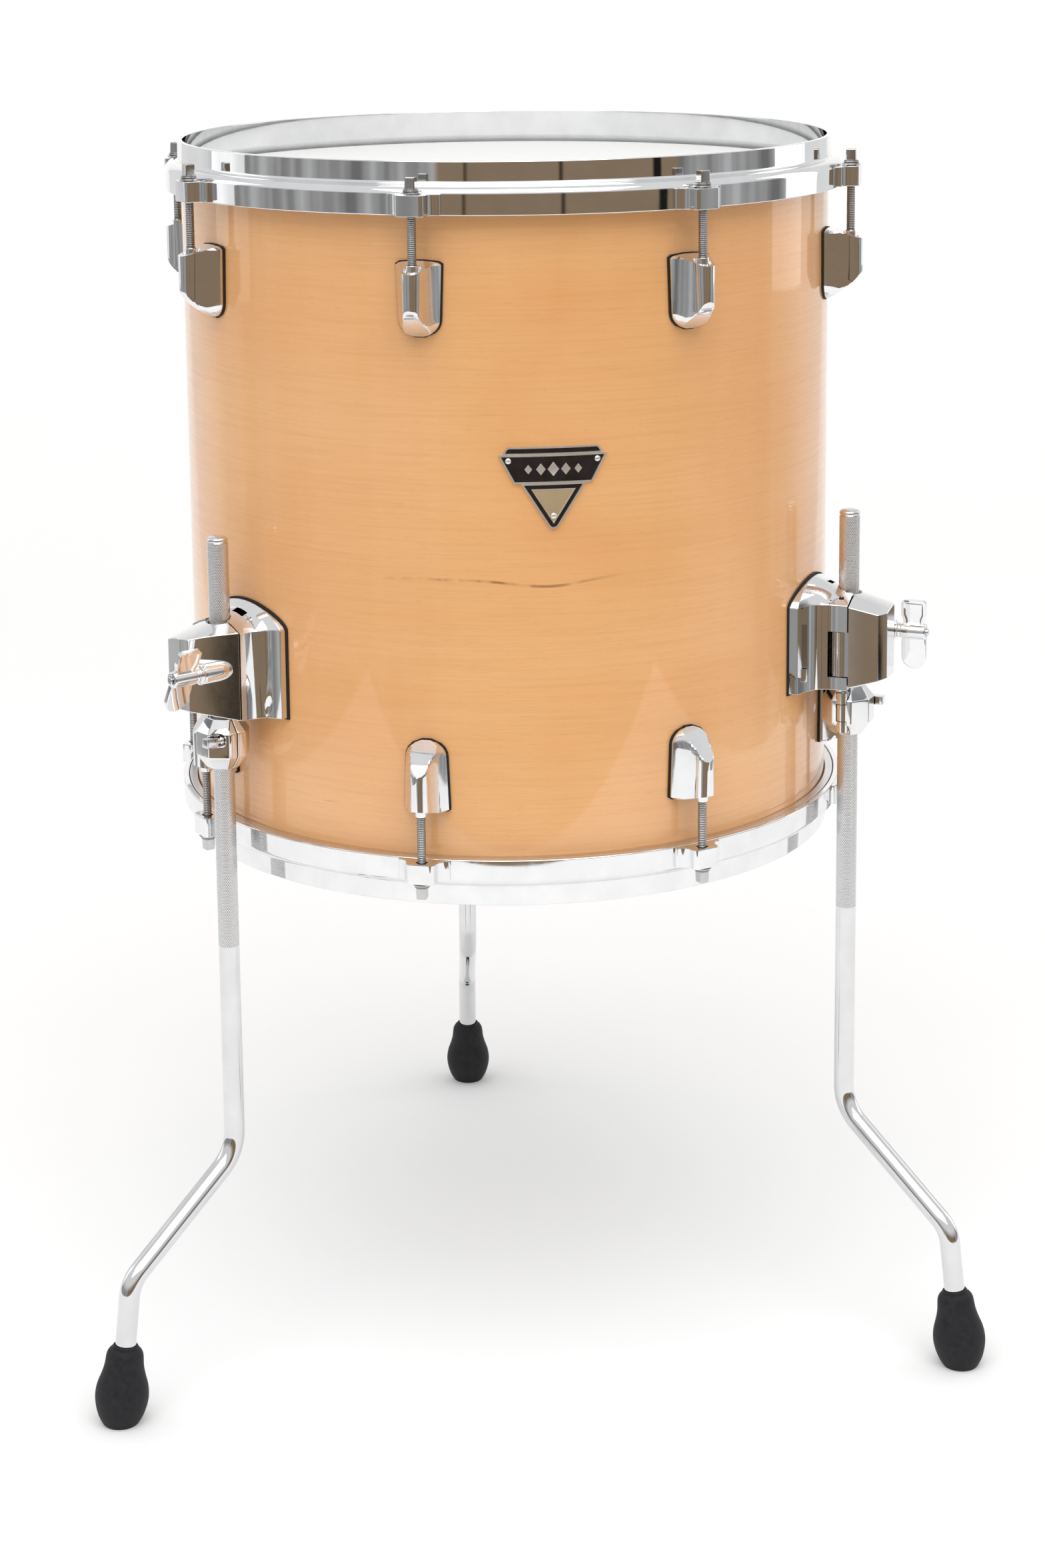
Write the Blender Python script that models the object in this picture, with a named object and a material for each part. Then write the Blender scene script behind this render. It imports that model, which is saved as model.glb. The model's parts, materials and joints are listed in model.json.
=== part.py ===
"""A floor tom: a 16-inch maple shell between two tension-rod hoops, standing on three clamped legs.

Metres, +Z up. The floor is z = 0, and the origin is the middle of the drum's footprint.
Azimuth 0 is -Y, the badge side, and azimuths grow towards +X.
Station frames, used for lugs and brackets, have +X outwards, +Y along the shell and +Z up.
"""

import math

import bmesh
import bpy
from mathutils import Matrix, Vector

# Shell
SHELL_RADIUS = 0.2032
SHELL_WALL = 0.0075
SHELL_DEPTH = 0.394
SHELL_HEIGHT_ABOVE_FLOOR = 0.341
EDGE_PEAK_INSET = 0.0024
EDGE_ROUND_DROP = 0.0022

# Heads
FILM = 0.0007
COLLAR_DROP = 0.0055
FLESH_RING_WIDTH = 0.0050
FLESH_RING_HEIGHT = 0.0065

# Hoops
HOOP_RISE = 0.022
HOOP_RIM_OVERHANG = 0.0015
HOOP_RIM_WALL = 0.0032
HOOP_BAND_WALL = 0.0038
HOOP_BAND_LIP = 0.0030
HOOP_SHOULDER_HEIGHT = 0.0035
HOOP_SHELF_HEIGHT = 0.0090
EAR_WIDTH = 0.024
EAR_HEIGHT = 0.0124
EAR_TOP = 0.0045
EAR_WALL_OUTSIDE_ROD = 0.0060

# Tension rods and lugs
LUGS_PER_END = 8
FIRST_LUG_AZIMUTH = math.radians(-59.0)
ROD_RADIUS = 0.0025
ROD_OUTSIDE_BAND = 0.0058
ROD_LENGTH_BELOW_EAR = 0.050
ROD_FLANGE_RADIUS = 0.0055
ROD_FLANGE_HEIGHT = 0.0025
ROD_FLANGE_SLOPE = 0.0007
ROD_HEAD_SIZE = 0.0062
ROD_HEAD_HEIGHT = 0.0071
LUG_INSET = 0.0345
LUG_WIDTH = 0.028
LUG_HEIGHT = 0.0435
LUG_PLATE = 0.0028
LUG_BARREL_RADIUS = 0.0078
LUG_GASKET = 0.0012
SLEEVE_WALL = 0.0006
SLEEVE_DROP = 0.0011
# Levels of a lug, as shares of its height, its half width and how far its nose stands out
LUG_LEVELS = (
    (0.00, 0.35, 0.10),
    (0.10, 0.88, 0.14),
    (0.19, 0.98, 0.95),
    (0.60, 1.00, 0.97),
    (0.80, 0.93, 0.55),
    (0.93, 0.70, 0.22),
    (1.00, 0.35, 0.10),
)

# Badge and air vent
BADGE_AZIMUTH = math.radians(7.3)
BADGE_WIDTH = 0.063
BADGE_HEIGHT = 0.0496
BADGE_ABOVE_MIDDLE = 0.0552
BADGE_BAR = 0.0060
BADGE_THICKNESS = 0.0016
VENT_AZIMUTH = math.radians(143.5)
VENT_BORE = 0.0042
VENT_TUBE_RADIUS = 0.0055
VENT_FLANGE_RADIUS = 0.0090
VENT_FLANGE_HEIGHT = 0.0014

# Leg stations: name, azimuth, and how far the leg is turned in its clamp
STATIONS = (
    ("front_left", math.radians(-50.0), math.radians(7.0), math.radians(-27.0)),
    ("front_right", math.radians(68.0), math.radians(-25.0), math.radians(4.0)),
    ("rear", math.radians(188.5), math.radians(-7.0), math.radians(-20.0)),
)
LEG_RADIUS = 0.00635
LEG_OUTSIDE_SHELL = 0.0233
LEG_ABOVE_BRACKET = 0.0505
LEG_BEND_HEIGHT = 0.1425
LEG_BEND_RADIUS = 0.026
KNEE_REACH = 0.0865
KNEE_HEIGHT = 0.086
KNEE_RADIUS = 0.020
FOOT_REACH = 0.0985
LEG_END_IN_FOOT = 0.0125
FOOT_COLLAR_WALL = 0.00125
FOOT_COLLAR_BOTTOM = 0.0430
FOOT_TOP = 0.0485
# Outside of a foot as (radius, height) up its leg, from below the floor to the waist
FOOT_PROFILE = (
    (0, -0.0035),
    (0.0085, -0.0022),
    (0.0132, 0.0025),
    (0.0160, 0.0095),
    (0.0167, 0.0175),
    (0.0155, 0.0255),
    (0.0123, 0.0330),
    (0.0110, 0.0385),
)

# Brackets, in heights above the lower bearing edge
BRACKET_GASKET = 0.0013
BRACKET_BOTTOM = 0.080
BRACKET_TOP = 0.1400
BRACKET_CORNER_DROP = 0.0065
PLATE_LEFT = 0.0405
PLATE_RIGHT = 0.0325
PLATE_THICKNESS = 0.0025
PLATE_RISE = 0.0070
PLATE_CORNER_DROP = 0.0115
NECK_CORNER_DROP = 0.0015
NECK_TOP_DROP = 0.0045
BLOCK_OUTSIDE_STUD = 0.0055
JAW_OUTSIDE_STUD = 0.0040
JAW_DEPTH = 0.0290
JAW_FULL_DEPTH = 0.01566
JAW_FULL_DROP = 0.0025
JAW_TOP_SLOPE = 0.0115
JAW_BOTTOM_SLOPE = 0.0070
STUD_RADIUS = 0.0030
STUD_WALL = 0.00405
STUD_HEIGHT = 0.1122
STUD_INTO_BASE = 0.0100
STUD_SWING_CLEARANCE = 0.0012
BOSS_WALL = 0.0030
BOSS_START = 0.0030
BOSS_FULL = 0.0090
BOSS_END = 0.0246
BOSS_CHAMFER = 0.0030
HINGE_PIN_RADIUS = 0.0015
HINGE_WALL = 0.00205
HINGE_KNUCKLE_RADIUS = 0.0064
HINGE_BOTTOM = 0.0810
HINGE_LOW = 0.0885
HINGE_HIGH = 0.1165
HINGE_TOP = 0.1350

# Wing nuts
NUT_WALL = 0.0020
NUT_LENGTH = 0.0190
NUT_COLLAR_OVERHANG = 0.0002
NUT_COLLAR = 0.0018
WING_THICKNESS = 0.0036
WING_WIDTH = 0.0140
WING_FROM_JAW = 0.0050
UPPER_WING = 0.0200
LOWER_WING = 0.0250
WING_EYE_RADIUS = 0.0024
WING_CORNER = 0.0015

# Memory locks
LOCK_HEIGHT = 0.0310
LOCK_CHAMFER = 0.0060
LOCK_UNDER_BRACKET = 0.0005
LOCK_HINGE_WALL = 0.00065
LOCK_OUTSIDE_HINGE = 0.0003
LOCK_KNUCKLE_RADIUS = 0.0044
LOCK_PIN_RADIUS = 0.0011
LOCK_SCREW_WALL = 0.00285
LOCK_SCREW_RADIUS = 0.0022

# Clearances and fineness
GAP = 0.0003
RUNNING_GAP = 0.0004
PARTING_GAP = 0.0004
TURN_STEPS = 56
ROUND_STEPS = 12
HOLE_STEPS = 8
ARCH_STEPS = 4
LOCK_SIDES = 8
OVERCUT = 0.005
WELD = 0.000002

# Derived places
SHELL_TOP = SHELL_HEIGHT_ABOVE_FLOOR + SHELL_DEPTH
SHELL_MIDDLE = SHELL_HEIGHT_ABOVE_FLOOR + SHELL_DEPTH / 2
FLESH_INNER = SHELL_RADIUS + 2 * GAP
FLESH_OUTER = FLESH_INNER + FLESH_RING_WIDTH
BAND_INNER = FLESH_OUTER + RUNNING_GAP
BAND_OUTER = BAND_INNER + HOOP_BAND_WALL
RIM_OUTER = SHELL_RADIUS + HOOP_RIM_OVERHANG
RIM_INNER = RIM_OUTER - HOOP_RIM_WALL
ROD_CIRCLE = BAND_OUTER + ROD_OUTSIDE_BAND
EAR_OUTER = ROD_CIRCLE + EAR_WALL_OUTSIDE_ROD
LUG_BACK = SHELL_RADIUS + LUG_GASKET
LUG_NOSE = ROD_CIRCLE + LUG_BARREL_RADIUS - LUG_BACK
BASE_BACK = SHELL_RADIUS + BRACKET_GASKET
LEG_CIRCLE = SHELL_RADIUS + LEG_OUTSIDE_SHELL
LEG_BORE = LEG_RADIUS + RUNNING_GAP
SLEEVE_RADIUS = ROD_RADIUS + RUNNING_GAP + SLEEVE_WALL
HINGE_X = -0.0005
HINGE_OFFSET = LEG_BORE + HINGE_WALL + HINGE_KNUCKLE_RADIUS
STUD_OFFSET = LEG_BORE + STUD_WALL + STUD_SWING_CLEARANCE + STUD_RADIUS
BLOCK_LEFT = HINGE_OFFSET + HINGE_KNUCKLE_RADIUS
BLOCK_RIGHT = STUD_OFFSET + BLOCK_OUTSIDE_STUD
JAW_RIGHT = STUD_OFFSET + JAW_OUTSIDE_STUD
BOSS_RADIUS = STUD_RADIUS + BOSS_WALL
NUT_RADIUS = STUD_RADIUS + NUT_WALL
NUT_COLLAR_RADIUS = BOSS_RADIUS + NUT_COLLAR_OVERHANG
LOCK_HINGE_OFFSET = LEG_BORE + LOCK_HINGE_WALL + LOCK_KNUCKLE_RADIUS
LOCK_RADIUS = LOCK_HINGE_OFFSET + LOCK_KNUCKLE_RADIUS + LOCK_OUTSIDE_HINGE
LOCK_SCREW_OFFSET = LEG_BORE + LOCK_SCREW_WALL + LOCK_SCREW_RADIUS


def direction(azimuth):
    """The unit vector that points outwards at an azimuth."""
    return Vector((math.sin(azimuth), -math.cos(azimuth), 0))


def station_matrix(azimuth, radius, height=0.0, turned_over=False):
    """A frame on the shell with +X outwards, or the same one turned over about +X."""
    place = Matrix.Translation(direction(azimuth) * radius + Vector((0, 0, height)))
    facing = Matrix.Rotation(azimuth - math.pi / 2, 4, "Z")
    over = Matrix.Rotation(math.pi if turned_over else 0, 4, "X")
    return place @ facing @ over


def foot_place(azimuth, turn):
    """Where a foot stands on the floor, from the drum's axis."""
    return direction(azimuth) * LEG_CIRCLE + direction(azimuth + turn) * FOOT_REACH


def drum_axis():
    """The drum's axis, placed so that the footprint's middle is the origin."""
    feet = [foot_place(azimuth, turn) for _, azimuth, turn, _ in STATIONS]
    middle_x = (min(f.x for f in feet) + max(f.x for f in feet)) / 2
    middle_y = (min(f.y for f in feet) + max(f.y for f in feet)) / 2
    return Vector((-middle_x, -middle_y, 0))


# Meshes


def to_mesh(bm, name):
    """Closes a bmesh into a mesh with its faces pointing out."""
    bmesh.ops.recalc_face_normals(bm, faces=bm.faces)
    mesh = bpy.data.meshes.new(name)
    bm.to_mesh(mesh)
    bm.free()
    return mesh


def turned(name, profile, steps=TURN_STEPS, axis="Z"):
    """A profile of (radius, height) points turned about an axis. A profile off the axis is a closed ring."""
    bm = bmesh.new()
    verts = [bm.verts.new((radius, 0, height)) for radius, height in profile]
    closed = profile[0][0] > 0
    pairs = zip(verts, verts[1:] + verts[:1]) if closed else zip(verts, verts[1:])
    edges = [bm.edges.new(pair) for pair in pairs]
    bmesh.ops.spin(
        bm, geom=verts + edges, axis=(0, 0, 1), cent=(0, 0, 0), angle=math.tau, steps=steps, use_merge=True
    )
    bmesh.ops.remove_doubles(bm, verts=bm.verts, dist=WELD)
    if axis == "X":
        bmesh.ops.rotate(bm, verts=bm.verts, matrix=Matrix.Rotation(math.pi / 2, 3, "Y"))
    return to_mesh(bm, name)


def rod(name, radius, start, end, steps=HOLE_STEPS, axis="Z"):
    """A plain round bar along an axis."""
    return turned(name, ((0, start), (radius, start), (radius, end), (0, end)), steps, axis)


def loft(name, rings):
    """A closed solid through rings of the same number of points."""
    bm = bmesh.new()
    loops = []
    for ring in rings:
        verts = [bm.verts.new(point) for point in ring]
        loops.append([bm.edges.new(pair) for pair in zip(verts, verts[1:] + verts[:1])])
    for low, high in zip(loops, loops[1:]):
        bmesh.ops.bridge_loops(bm, edges=low + high)
    bmesh.ops.edgeloop_fill(bm, edges=loops[0])
    bmesh.ops.edgeloop_fill(bm, edges=loops[-1])
    return to_mesh(bm, name)


def prism(name, outline, depth):
    """A flat outline of points, extruded along a vector."""
    bm = bmesh.new()
    face = bm.faces.new([bm.verts.new(point) for point in outline])
    grown = bmesh.ops.extrude_face_region(bm, geom=[face])
    moved = [item for item in grown["geom"] if isinstance(item, bmesh.types.BMVert)]
    bmesh.ops.translate(bm, verts=moved, vec=depth)
    return to_mesh(bm, name)


def moved(mesh, matrix):
    """The mesh after a transform."""
    mesh.transform(matrix)
    return mesh


def combined(solid, tool, operation):
    """The exact Boolean of two meshes, as a mesh. Both are used up."""
    target = bpy.data.objects.new("target", solid)
    cutter = bpy.data.objects.new("cutter", tool)
    bpy.context.collection.objects.link(target)
    bpy.context.collection.objects.link(cutter)
    modifier = target.modifiers.new("combine", "BOOLEAN")
    modifier.operation = operation
    modifier.solver = "EXACT"
    modifier.object = cutter
    depsgraph = bpy.context.evaluated_depsgraph_get()
    result = bmesh.new()
    result.from_object(target, depsgraph)
    bmesh.ops.remove_doubles(result, verts=result.verts, dist=WELD)
    bmesh.ops.dissolve_degenerate(result, edges=result.edges, dist=WELD)
    bpy.data.objects.remove(target)
    bpy.data.objects.remove(cutter)
    bpy.data.meshes.remove(tool)
    return to_mesh(result, solid.name)


def cut(solid, *tools):
    """The solid with each tool taken out of it."""
    for tool in tools:
        solid = combined(solid, tool, "DIFFERENCE")
    return solid


def joined(solid, *tools):
    """The solid with each tool added to it."""
    for tool in tools:
        solid = combined(solid, tool, "UNION")
    return solid


# Objects


def material(name, colour, roughness, metallic=0.0):
    """A plain material with one colour."""
    made = bpy.data.materials.new(name)
    made.use_nodes = True
    shader = made.node_tree.nodes["Principled BSDF"]
    shader.inputs["Base Color"].default_value = (*colour, 1)
    shader.inputs["Roughness"].default_value = roughness
    shader.inputs["Metallic"].default_value = metallic
    return made


def piece(name, mesh, finish, parent, matrix=None):
    """One named sub-part with its material, placed under its parent."""
    obj = bpy.data.objects.new(name, mesh)
    bpy.context.collection.objects.link(obj)
    obj.parent = parent
    if matrix is not None:
        obj.matrix_local = matrix
    if not mesh.materials:
        mesh.materials.append(finish)
    if isinstance(mesh, bpy.types.Mesh):
        mesh.shade_smooth()
        mesh.set_sharp_from_angle(angle=math.radians(32))
    return obj


# Shell, heads and hoops


def make_shell(parent, finish):
    """The shell with a bearing edge at each end and a hole for the air vent."""
    inner = SHELL_RADIUS - SHELL_WALL
    peak = SHELL_RADIUS - EDGE_PEAK_INSET
    inner_drop = peak - inner
    bottom, top = SHELL_HEIGHT_ABOVE_FLOOR, SHELL_TOP
    shell = turned(
        "shell",
        (
            (inner, bottom + inner_drop),
            (peak, bottom),
            (SHELL_RADIUS, bottom + EDGE_ROUND_DROP),
            (SHELL_RADIUS, top - EDGE_ROUND_DROP),
            (peak, top),
            (inner, top - inner_drop),
        ),
    )
    hole = rod("hole", VENT_TUBE_RADIUS + GAP, inner - OVERCUT, SHELL_RADIUS + OVERCUT, ROUND_STEPS, "X")
    shell = cut(shell, moved(hole, station_matrix(VENT_AZIMUTH, 0, SHELL_MIDDLE)))
    return piece("shell", shell, finish, parent)


def head_mesh(name):
    """A film stretched over the bearing edge at height 0, with its flesh ring below."""
    peak = SHELL_RADIUS - EDGE_PEAK_INSET
    inside = FLESH_INNER
    outside = inside + FILM
    corner = EDGE_ROUND_DROP
    profile = (
        (0, GAP),
        (peak + GAP, GAP),
        (inside, -corner),
        (inside, -COLLAR_DROP - FLESH_RING_HEIGHT),
        (FLESH_OUTER, -COLLAR_DROP - FLESH_RING_HEIGHT),
        (FLESH_OUTER, -COLLAR_DROP),
        (outside, -COLLAR_DROP),
        (outside, -corner + FILM),
        (peak + FILM, GAP + FILM),
        (0, GAP + FILM),
    )
    return turned(name, profile)


def hoop_mesh(name):
    """A cast hoop over the bearing edge at height 0, with an ear for each tension rod."""
    press_face = GAP - COLLAR_DROP
    collar_inner = FLESH_INNER + FILM + RUNNING_GAP
    hoop = turned(
        name,
        (
            (RIM_OUTER, HOOP_RISE),
            (RIM_INNER, HOOP_RISE),
            (RIM_INNER, HOOP_RISE / 4),
            (collar_inner, GAP),
            (collar_inner, press_face),
            (BAND_INNER, press_face),
            (BAND_INNER, press_face - HOOP_BAND_LIP),
            (BAND_OUTER, press_face - HOOP_BAND_LIP),
            (BAND_OUTER, HOOP_SHOULDER_HEIGHT),
            (BAND_OUTER - HOOP_BAND_WALL / 2, (HOOP_SHOULDER_HEIGHT + HOOP_SHELF_HEIGHT) / 2 + GAP),
            (RIM_OUTER + HOOP_RIM_OVERHANG, HOOP_SHELF_HEIGHT),
        ),
    )
    root = BAND_INNER + HOOP_BAND_WALL / 3
    half = EAR_WIDTH / 2
    corner = EAR_WALL_OUTSIDE_ROD * 0.7
    for index in range(LUGS_PER_END):
        frame = station_matrix(lug_azimuth(index), 0)
        outline = (
            (root, -half, EAR_TOP),
            (EAR_OUTER - corner, -half, EAR_TOP),
            (EAR_OUTER, -half + corner, EAR_TOP),
            (EAR_OUTER, half - corner, EAR_TOP),
            (EAR_OUTER - corner, half, EAR_TOP),
            (root, half, EAR_TOP),
        )
        hoop = joined(hoop, moved(prism("ear", outline, (0, 0, -EAR_HEIGHT)), frame))
    for index in range(LUGS_PER_END):
        hole = rod("hole", ROD_RADIUS + 2 * RUNNING_GAP, EAR_TOP - EAR_HEIGHT - OVERCUT, EAR_TOP + OVERCUT)
        hoop = cut(hoop, moved(hole, station_matrix(lug_azimuth(index), ROD_CIRCLE)))
    return hoop


def make_heads_and_hoops(parent, finishes):
    """A head and a hoop at each end, the lower pair turned over."""
    ends = (("batter", SHELL_TOP, 0, "coated_film"), ("resonant", SHELL_HEIGHT_ABOVE_FLOOR, math.pi, "clear_film"))
    hoop = hoop_mesh("hoop")
    for end, height, turn, film in ends:
        over = Matrix.Translation((0, 0, height)) @ Matrix.Rotation(turn, 4, "Y")
        if turn:
            # Turned over about Y, so the ears are set back over the lower lugs by a turn about Z.
            over = over @ Matrix.Rotation(hoop_turn(), 4, "Z")
        piece(end + "_head", head_mesh(end + "_head"), finishes[film], parent, over)
        piece(end + "_hoop", hoop, finishes["chrome"], parent, over)


def hoop_turn():
    """How far a hoop that is turned over about Y is turned back, so that its ears meet the lugs."""
    return -2 * (lug_azimuth(0) % (math.tau / LUGS_PER_END))


def lug_azimuth(index):
    """The azimuth of one lug, which upper and lower lugs share."""
    return FIRST_LUG_AZIMUTH + index * math.tau / LUGS_PER_END


# Tension rods and lugs


def rod_mesh():
    """A key rod, pointing down from the top of the ear at height 0."""
    angles = [(index + 0.5) * math.tau / HOLE_STEPS for index in range(HOLE_STEPS)]
    half = ROD_HEAD_SIZE / 2
    flat = half * 0.8

    def circle(radius, height):
        return [(radius * math.cos(a), radius * math.sin(a), height) for a in angles]

    def square(height):
        right = ((half, flat), (flat, half), (-flat, half), (-half, flat))
        left = ((-half, -flat), (-flat, -half), (flat, -half), (half, -flat))
        return [(x, y, height) for x, y in right + left]

    flange_top = GAP + ROD_FLANGE_HEIGHT
    return loft(
        "tension_rod",
        (
            circle(ROD_RADIUS, -ROD_LENGTH_BELOW_EAR),
            circle(ROD_RADIUS, 0),
            circle(ROD_FLANGE_RADIUS, ROD_FLANGE_SLOPE),
            circle(ROD_FLANGE_RADIUS, flange_top - ROD_FLANGE_SLOPE),
            square(flange_top),
            square(flange_top + ROD_HEAD_HEIGHT),
        ),
    )


def lug_section(drop, half_width, nose):
    """One level of a lug: its plate's half width and how far its barrel stands out, at a drop below its top."""
    barrel = min(LUG_BARREL_RADIUS, half_width * 0.7)
    root = min(barrel * 1.35, half_width * 0.9)
    plate = min(LUG_PLATE, nose)
    thin = plate * 0.6
    side = [(thin, half_width), (plate, root), (plate + (nose - plate) * 0.72, barrel), (nose, barrel * 0.45)]
    right = [(0, half_width)] + side
    outline = [(x, -y) for x, y in right] + [(x, y) for x, y in reversed(right)]
    return [(x, y, -drop) for x, y in outline]


def lug_mesh():
    """A cast lug with its top at height 0 and its back at x = 0, bored for the tension rod."""
    half = LUG_WIDTH / 2
    rings = [lug_section(LUG_HEIGHT * d, half * w, LUG_NOSE * n) for d, w, n in LUG_LEVELS]
    lug = loft("lug", rings)
    rod_x = ROD_CIRCLE - LUG_BACK
    sleeve = rod("sleeve", SLEEVE_RADIUS, -LUG_HEIGHT * 0.4, -SLEEVE_DROP)
    lug = joined(lug, moved(sleeve, Matrix.Translation((rod_x, 0, 0))))
    depth = ROD_LENGTH_BELOW_EAR + EAR_TOP - LUG_INSET + 2 * GAP
    bore = rod("bore", ROD_RADIUS + RUNNING_GAP, -depth, OVERCUT)
    return cut(lug, moved(bore, Matrix.Translation((rod_x, 0, 0))))


def make_lugs_and_rods(parent, finishes):
    """Eight lugs and eight tension rods at each end."""
    lug = lug_mesh()
    key_rod = rod_mesh()
    ends = (("upper", SHELL_TOP, -1, False), ("lower", SHELL_HEIGHT_ABOVE_FLOOR, 1, True))
    for end, edge, inwards, over in ends:
        for index in range(LUGS_PER_END):
            azimuth = lug_azimuth(index)
            lug_frame = station_matrix(azimuth, LUG_BACK, edge + inwards * LUG_INSET, over)
            rod_frame = station_matrix(azimuth, ROD_CIRCLE, edge - inwards * EAR_TOP, over)
            piece(f"{end}_lug_{index + 1}", lug, finishes["chrome"], parent, lug_frame)
            piece(f"{end}_rod_{index + 1}", key_rod, finishes["steel"], parent, rod_frame)


# Badge and air vent


def make_badge(parent, finish):
    """A triangular badge bent round the shell, point down, with a straight bar along its top."""
    top = SHELL_MIDDLE + BADGE_ABOVE_MIDDLE
    half = BADGE_WIDTH / 2
    inside = SHELL_RADIUS - OVERCUT
    outline = (
        (inside, -half, top),
        (inside, -half, top - BADGE_BAR),
        (inside, -half * 0.06, top - BADGE_HEIGHT),
        (inside, half * 0.06, top - BADGE_HEIGHT),
        (inside, half, top - BADGE_BAR),
        (inside, half, top),
    )
    block = prism("badge", outline, (2 * OVERCUT, 0, 0))
    moved(block, station_matrix(BADGE_AZIMUTH, 0))
    low, high = top - BADGE_HEIGHT - OVERCUT, top + OVERCUT
    back = SHELL_RADIUS + RUNNING_GAP
    front = back + BADGE_THICKNESS
    ring = turned("ring", ((back, low), (front, low), (front, high), (back, high)))
    badge = combined(block, ring, "INTERSECT")
    return piece("badge", badge, finish, parent)


def make_air_vent(parent, finish):
    """A flanged grommet through the shell."""
    outside = SHELL_RADIUS + RUNNING_GAP
    inside = SHELL_RADIUS - SHELL_WALL
    vent = turned(
        "air_vent",
        (
            (VENT_BORE, inside),
            (VENT_TUBE_RADIUS, inside),
            (VENT_TUBE_RADIUS, outside),
            (VENT_FLANGE_RADIUS, outside),
            (VENT_FLANGE_RADIUS * 0.9, outside + VENT_FLANGE_HEIGHT),
            (VENT_BORE, outside + VENT_FLANGE_HEIGHT),
        ),
        ROUND_STEPS,
        "X",
    )
    return piece("air_vent", vent, finish, parent, station_matrix(VENT_AZIMUTH, 0, SHELL_MIDDLE))


# Brackets and memory locks, in a station frame whose +Z starts at the lower bearing edge


def bracket_outline(x, left, right, bottom, corner, top):
    """One upright outline of a bracket at a distance x outwards from the leg, with an arched top."""
    points = [(x, -left, bottom), (x, right, bottom)]
    for index in range(ARCH_STEPS + 1):
        share = index / ARCH_STEPS
        y = right + (-left - right) * share
        points.append((x, y, corner + (top - corner) * math.sin(math.pi * share)))
    return points


def base_block():
    """The inner half of a bracket before its bores, with its back on the gasket."""
    back = BASE_BACK - LEG_CIRCLE
    corner = BRACKET_TOP - BRACKET_CORNER_DROP
    plate_top = BRACKET_TOP + PLATE_RISE
    neck_left = (PLATE_LEFT + 2 * BLOCK_LEFT) / 3
    neck_right = (PLATE_RIGHT + 2 * BLOCK_RIGHT) / 3
    plate_corner = plate_top - PLATE_CORNER_DROP
    plate = (PLATE_LEFT, PLATE_RIGHT, BRACKET_BOTTOM, plate_corner, plate_top)
    neck = (neck_left, neck_right, BRACKET_BOTTOM, plate_corner - NECK_CORNER_DROP, plate_top - NECK_TOP_DROP)
    block = (BLOCK_LEFT, BLOCK_RIGHT, BRACKET_BOTTOM, corner, BRACKET_TOP)
    rings = (
        bracket_outline(back - OVERCUT, *plate),
        bracket_outline(back + PLATE_THICKNESS, *plate),
        bracket_outline(back + 2 * PLATE_THICKNESS, *neck),
        bracket_outline(-PARTING_GAP / 2, *block),
    )
    outer = loft("bracket_base", rings)
    tube = rod("tube", BASE_BACK, BRACKET_BOTTOM - OVERCUT, plate_top + OVERCUT, TURN_STEPS)
    turned_to_shell = Matrix.Translation((-LEG_CIRCLE, 0, 0))
    return cut(outer, moved(tube, turned_to_shell))


def jaw_block():
    """The outer half of a bracket before its bores, with the boss for the stud."""
    corner = BRACKET_TOP - BRACKET_CORNER_DROP
    bottom = BRACKET_BOTTOM
    front_left = BLOCK_LEFT * 0.66
    front_right = JAW_RIGHT * 0.2
    low_corner = corner - JAW_TOP_SLOPE * 0.3
    rings = (
        bracket_outline(PARTING_GAP / 2, BLOCK_LEFT, JAW_RIGHT, bottom, corner, BRACKET_TOP),
        bracket_outline(
            JAW_FULL_DEPTH,
            BLOCK_LEFT * 0.93,
            JAW_RIGHT * 0.96,
            bottom,
            low_corner,
            BRACKET_TOP - JAW_FULL_DROP,
        ),
        bracket_outline(
            JAW_DEPTH,
            front_left,
            front_right,
            bottom + JAW_BOTTOM_SLOPE,
            corner - JAW_TOP_SLOPE,
            BRACKET_TOP - JAW_TOP_SLOPE,
        ),
    )
    boss = turned(
        "boss",
        (
            (0, BOSS_START),
            (BOSS_RADIUS * 0.6, BOSS_START),
            (BOSS_RADIUS, BOSS_FULL),
            (BOSS_RADIUS, BOSS_END - BOSS_CHAMFER),
            (BOSS_RADIUS * 0.85, BOSS_END),
            (0, BOSS_END),
        ),
        ROUND_STEPS,
        "X",
    )
    return joined(loft("bracket_jaw", rings), moved(boss, Matrix.Translation((0, STUD_OFFSET, STUD_HEIGHT))))


def hinge_halves(inner, outer, pin, knuckle_radius, pin_radius, levels, steps):
    """Cuts a knuckle hinge into two halves. The inner half keeps the pin, the outer half the middle knuckle."""
    bottom, low, high, top = levels
    at_pin = Matrix.Translation((pin[0], pin[1], 0))
    relief = knuckle_radius + RUNNING_GAP

    def bar(radius, start, end):
        return moved(rod("bar", radius, start, end, steps), at_pin)

    inner = joined(inner, bar(knuckle_radius, bottom, top))
    inner = cut(inner, bar(relief, low - RUNNING_GAP, high + RUNNING_GAP))
    inner = joined(inner, moved(rod("pin", pin_radius, low - OVERCUT, high + OVERCUT), at_pin))
    outer = cut(outer, bar(relief, bottom - OVERCUT, low), bar(relief, high, top + 3 * OVERCUT))
    outer = joined(outer, bar(knuckle_radius, low, high))
    outer = cut(outer, moved(rod("hole", pin_radius + RUNNING_GAP, low - OVERCUT, high + OVERCUT), at_pin))
    return inner, outer


def leg_bore(bottom, top):
    """The cutter for a leg's bore."""
    return rod("bore", LEG_BORE, bottom - OVERCUT, top + OVERCUT, ROUND_STEPS)


def stud_bore(radius, start, end):
    """The cutter for the stud's hole."""
    bore = rod("bore", radius, start, end, ROUND_STEPS, "X")
    return moved(bore, Matrix.Translation((0, STUD_OFFSET, STUD_HEIGHT)))


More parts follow.
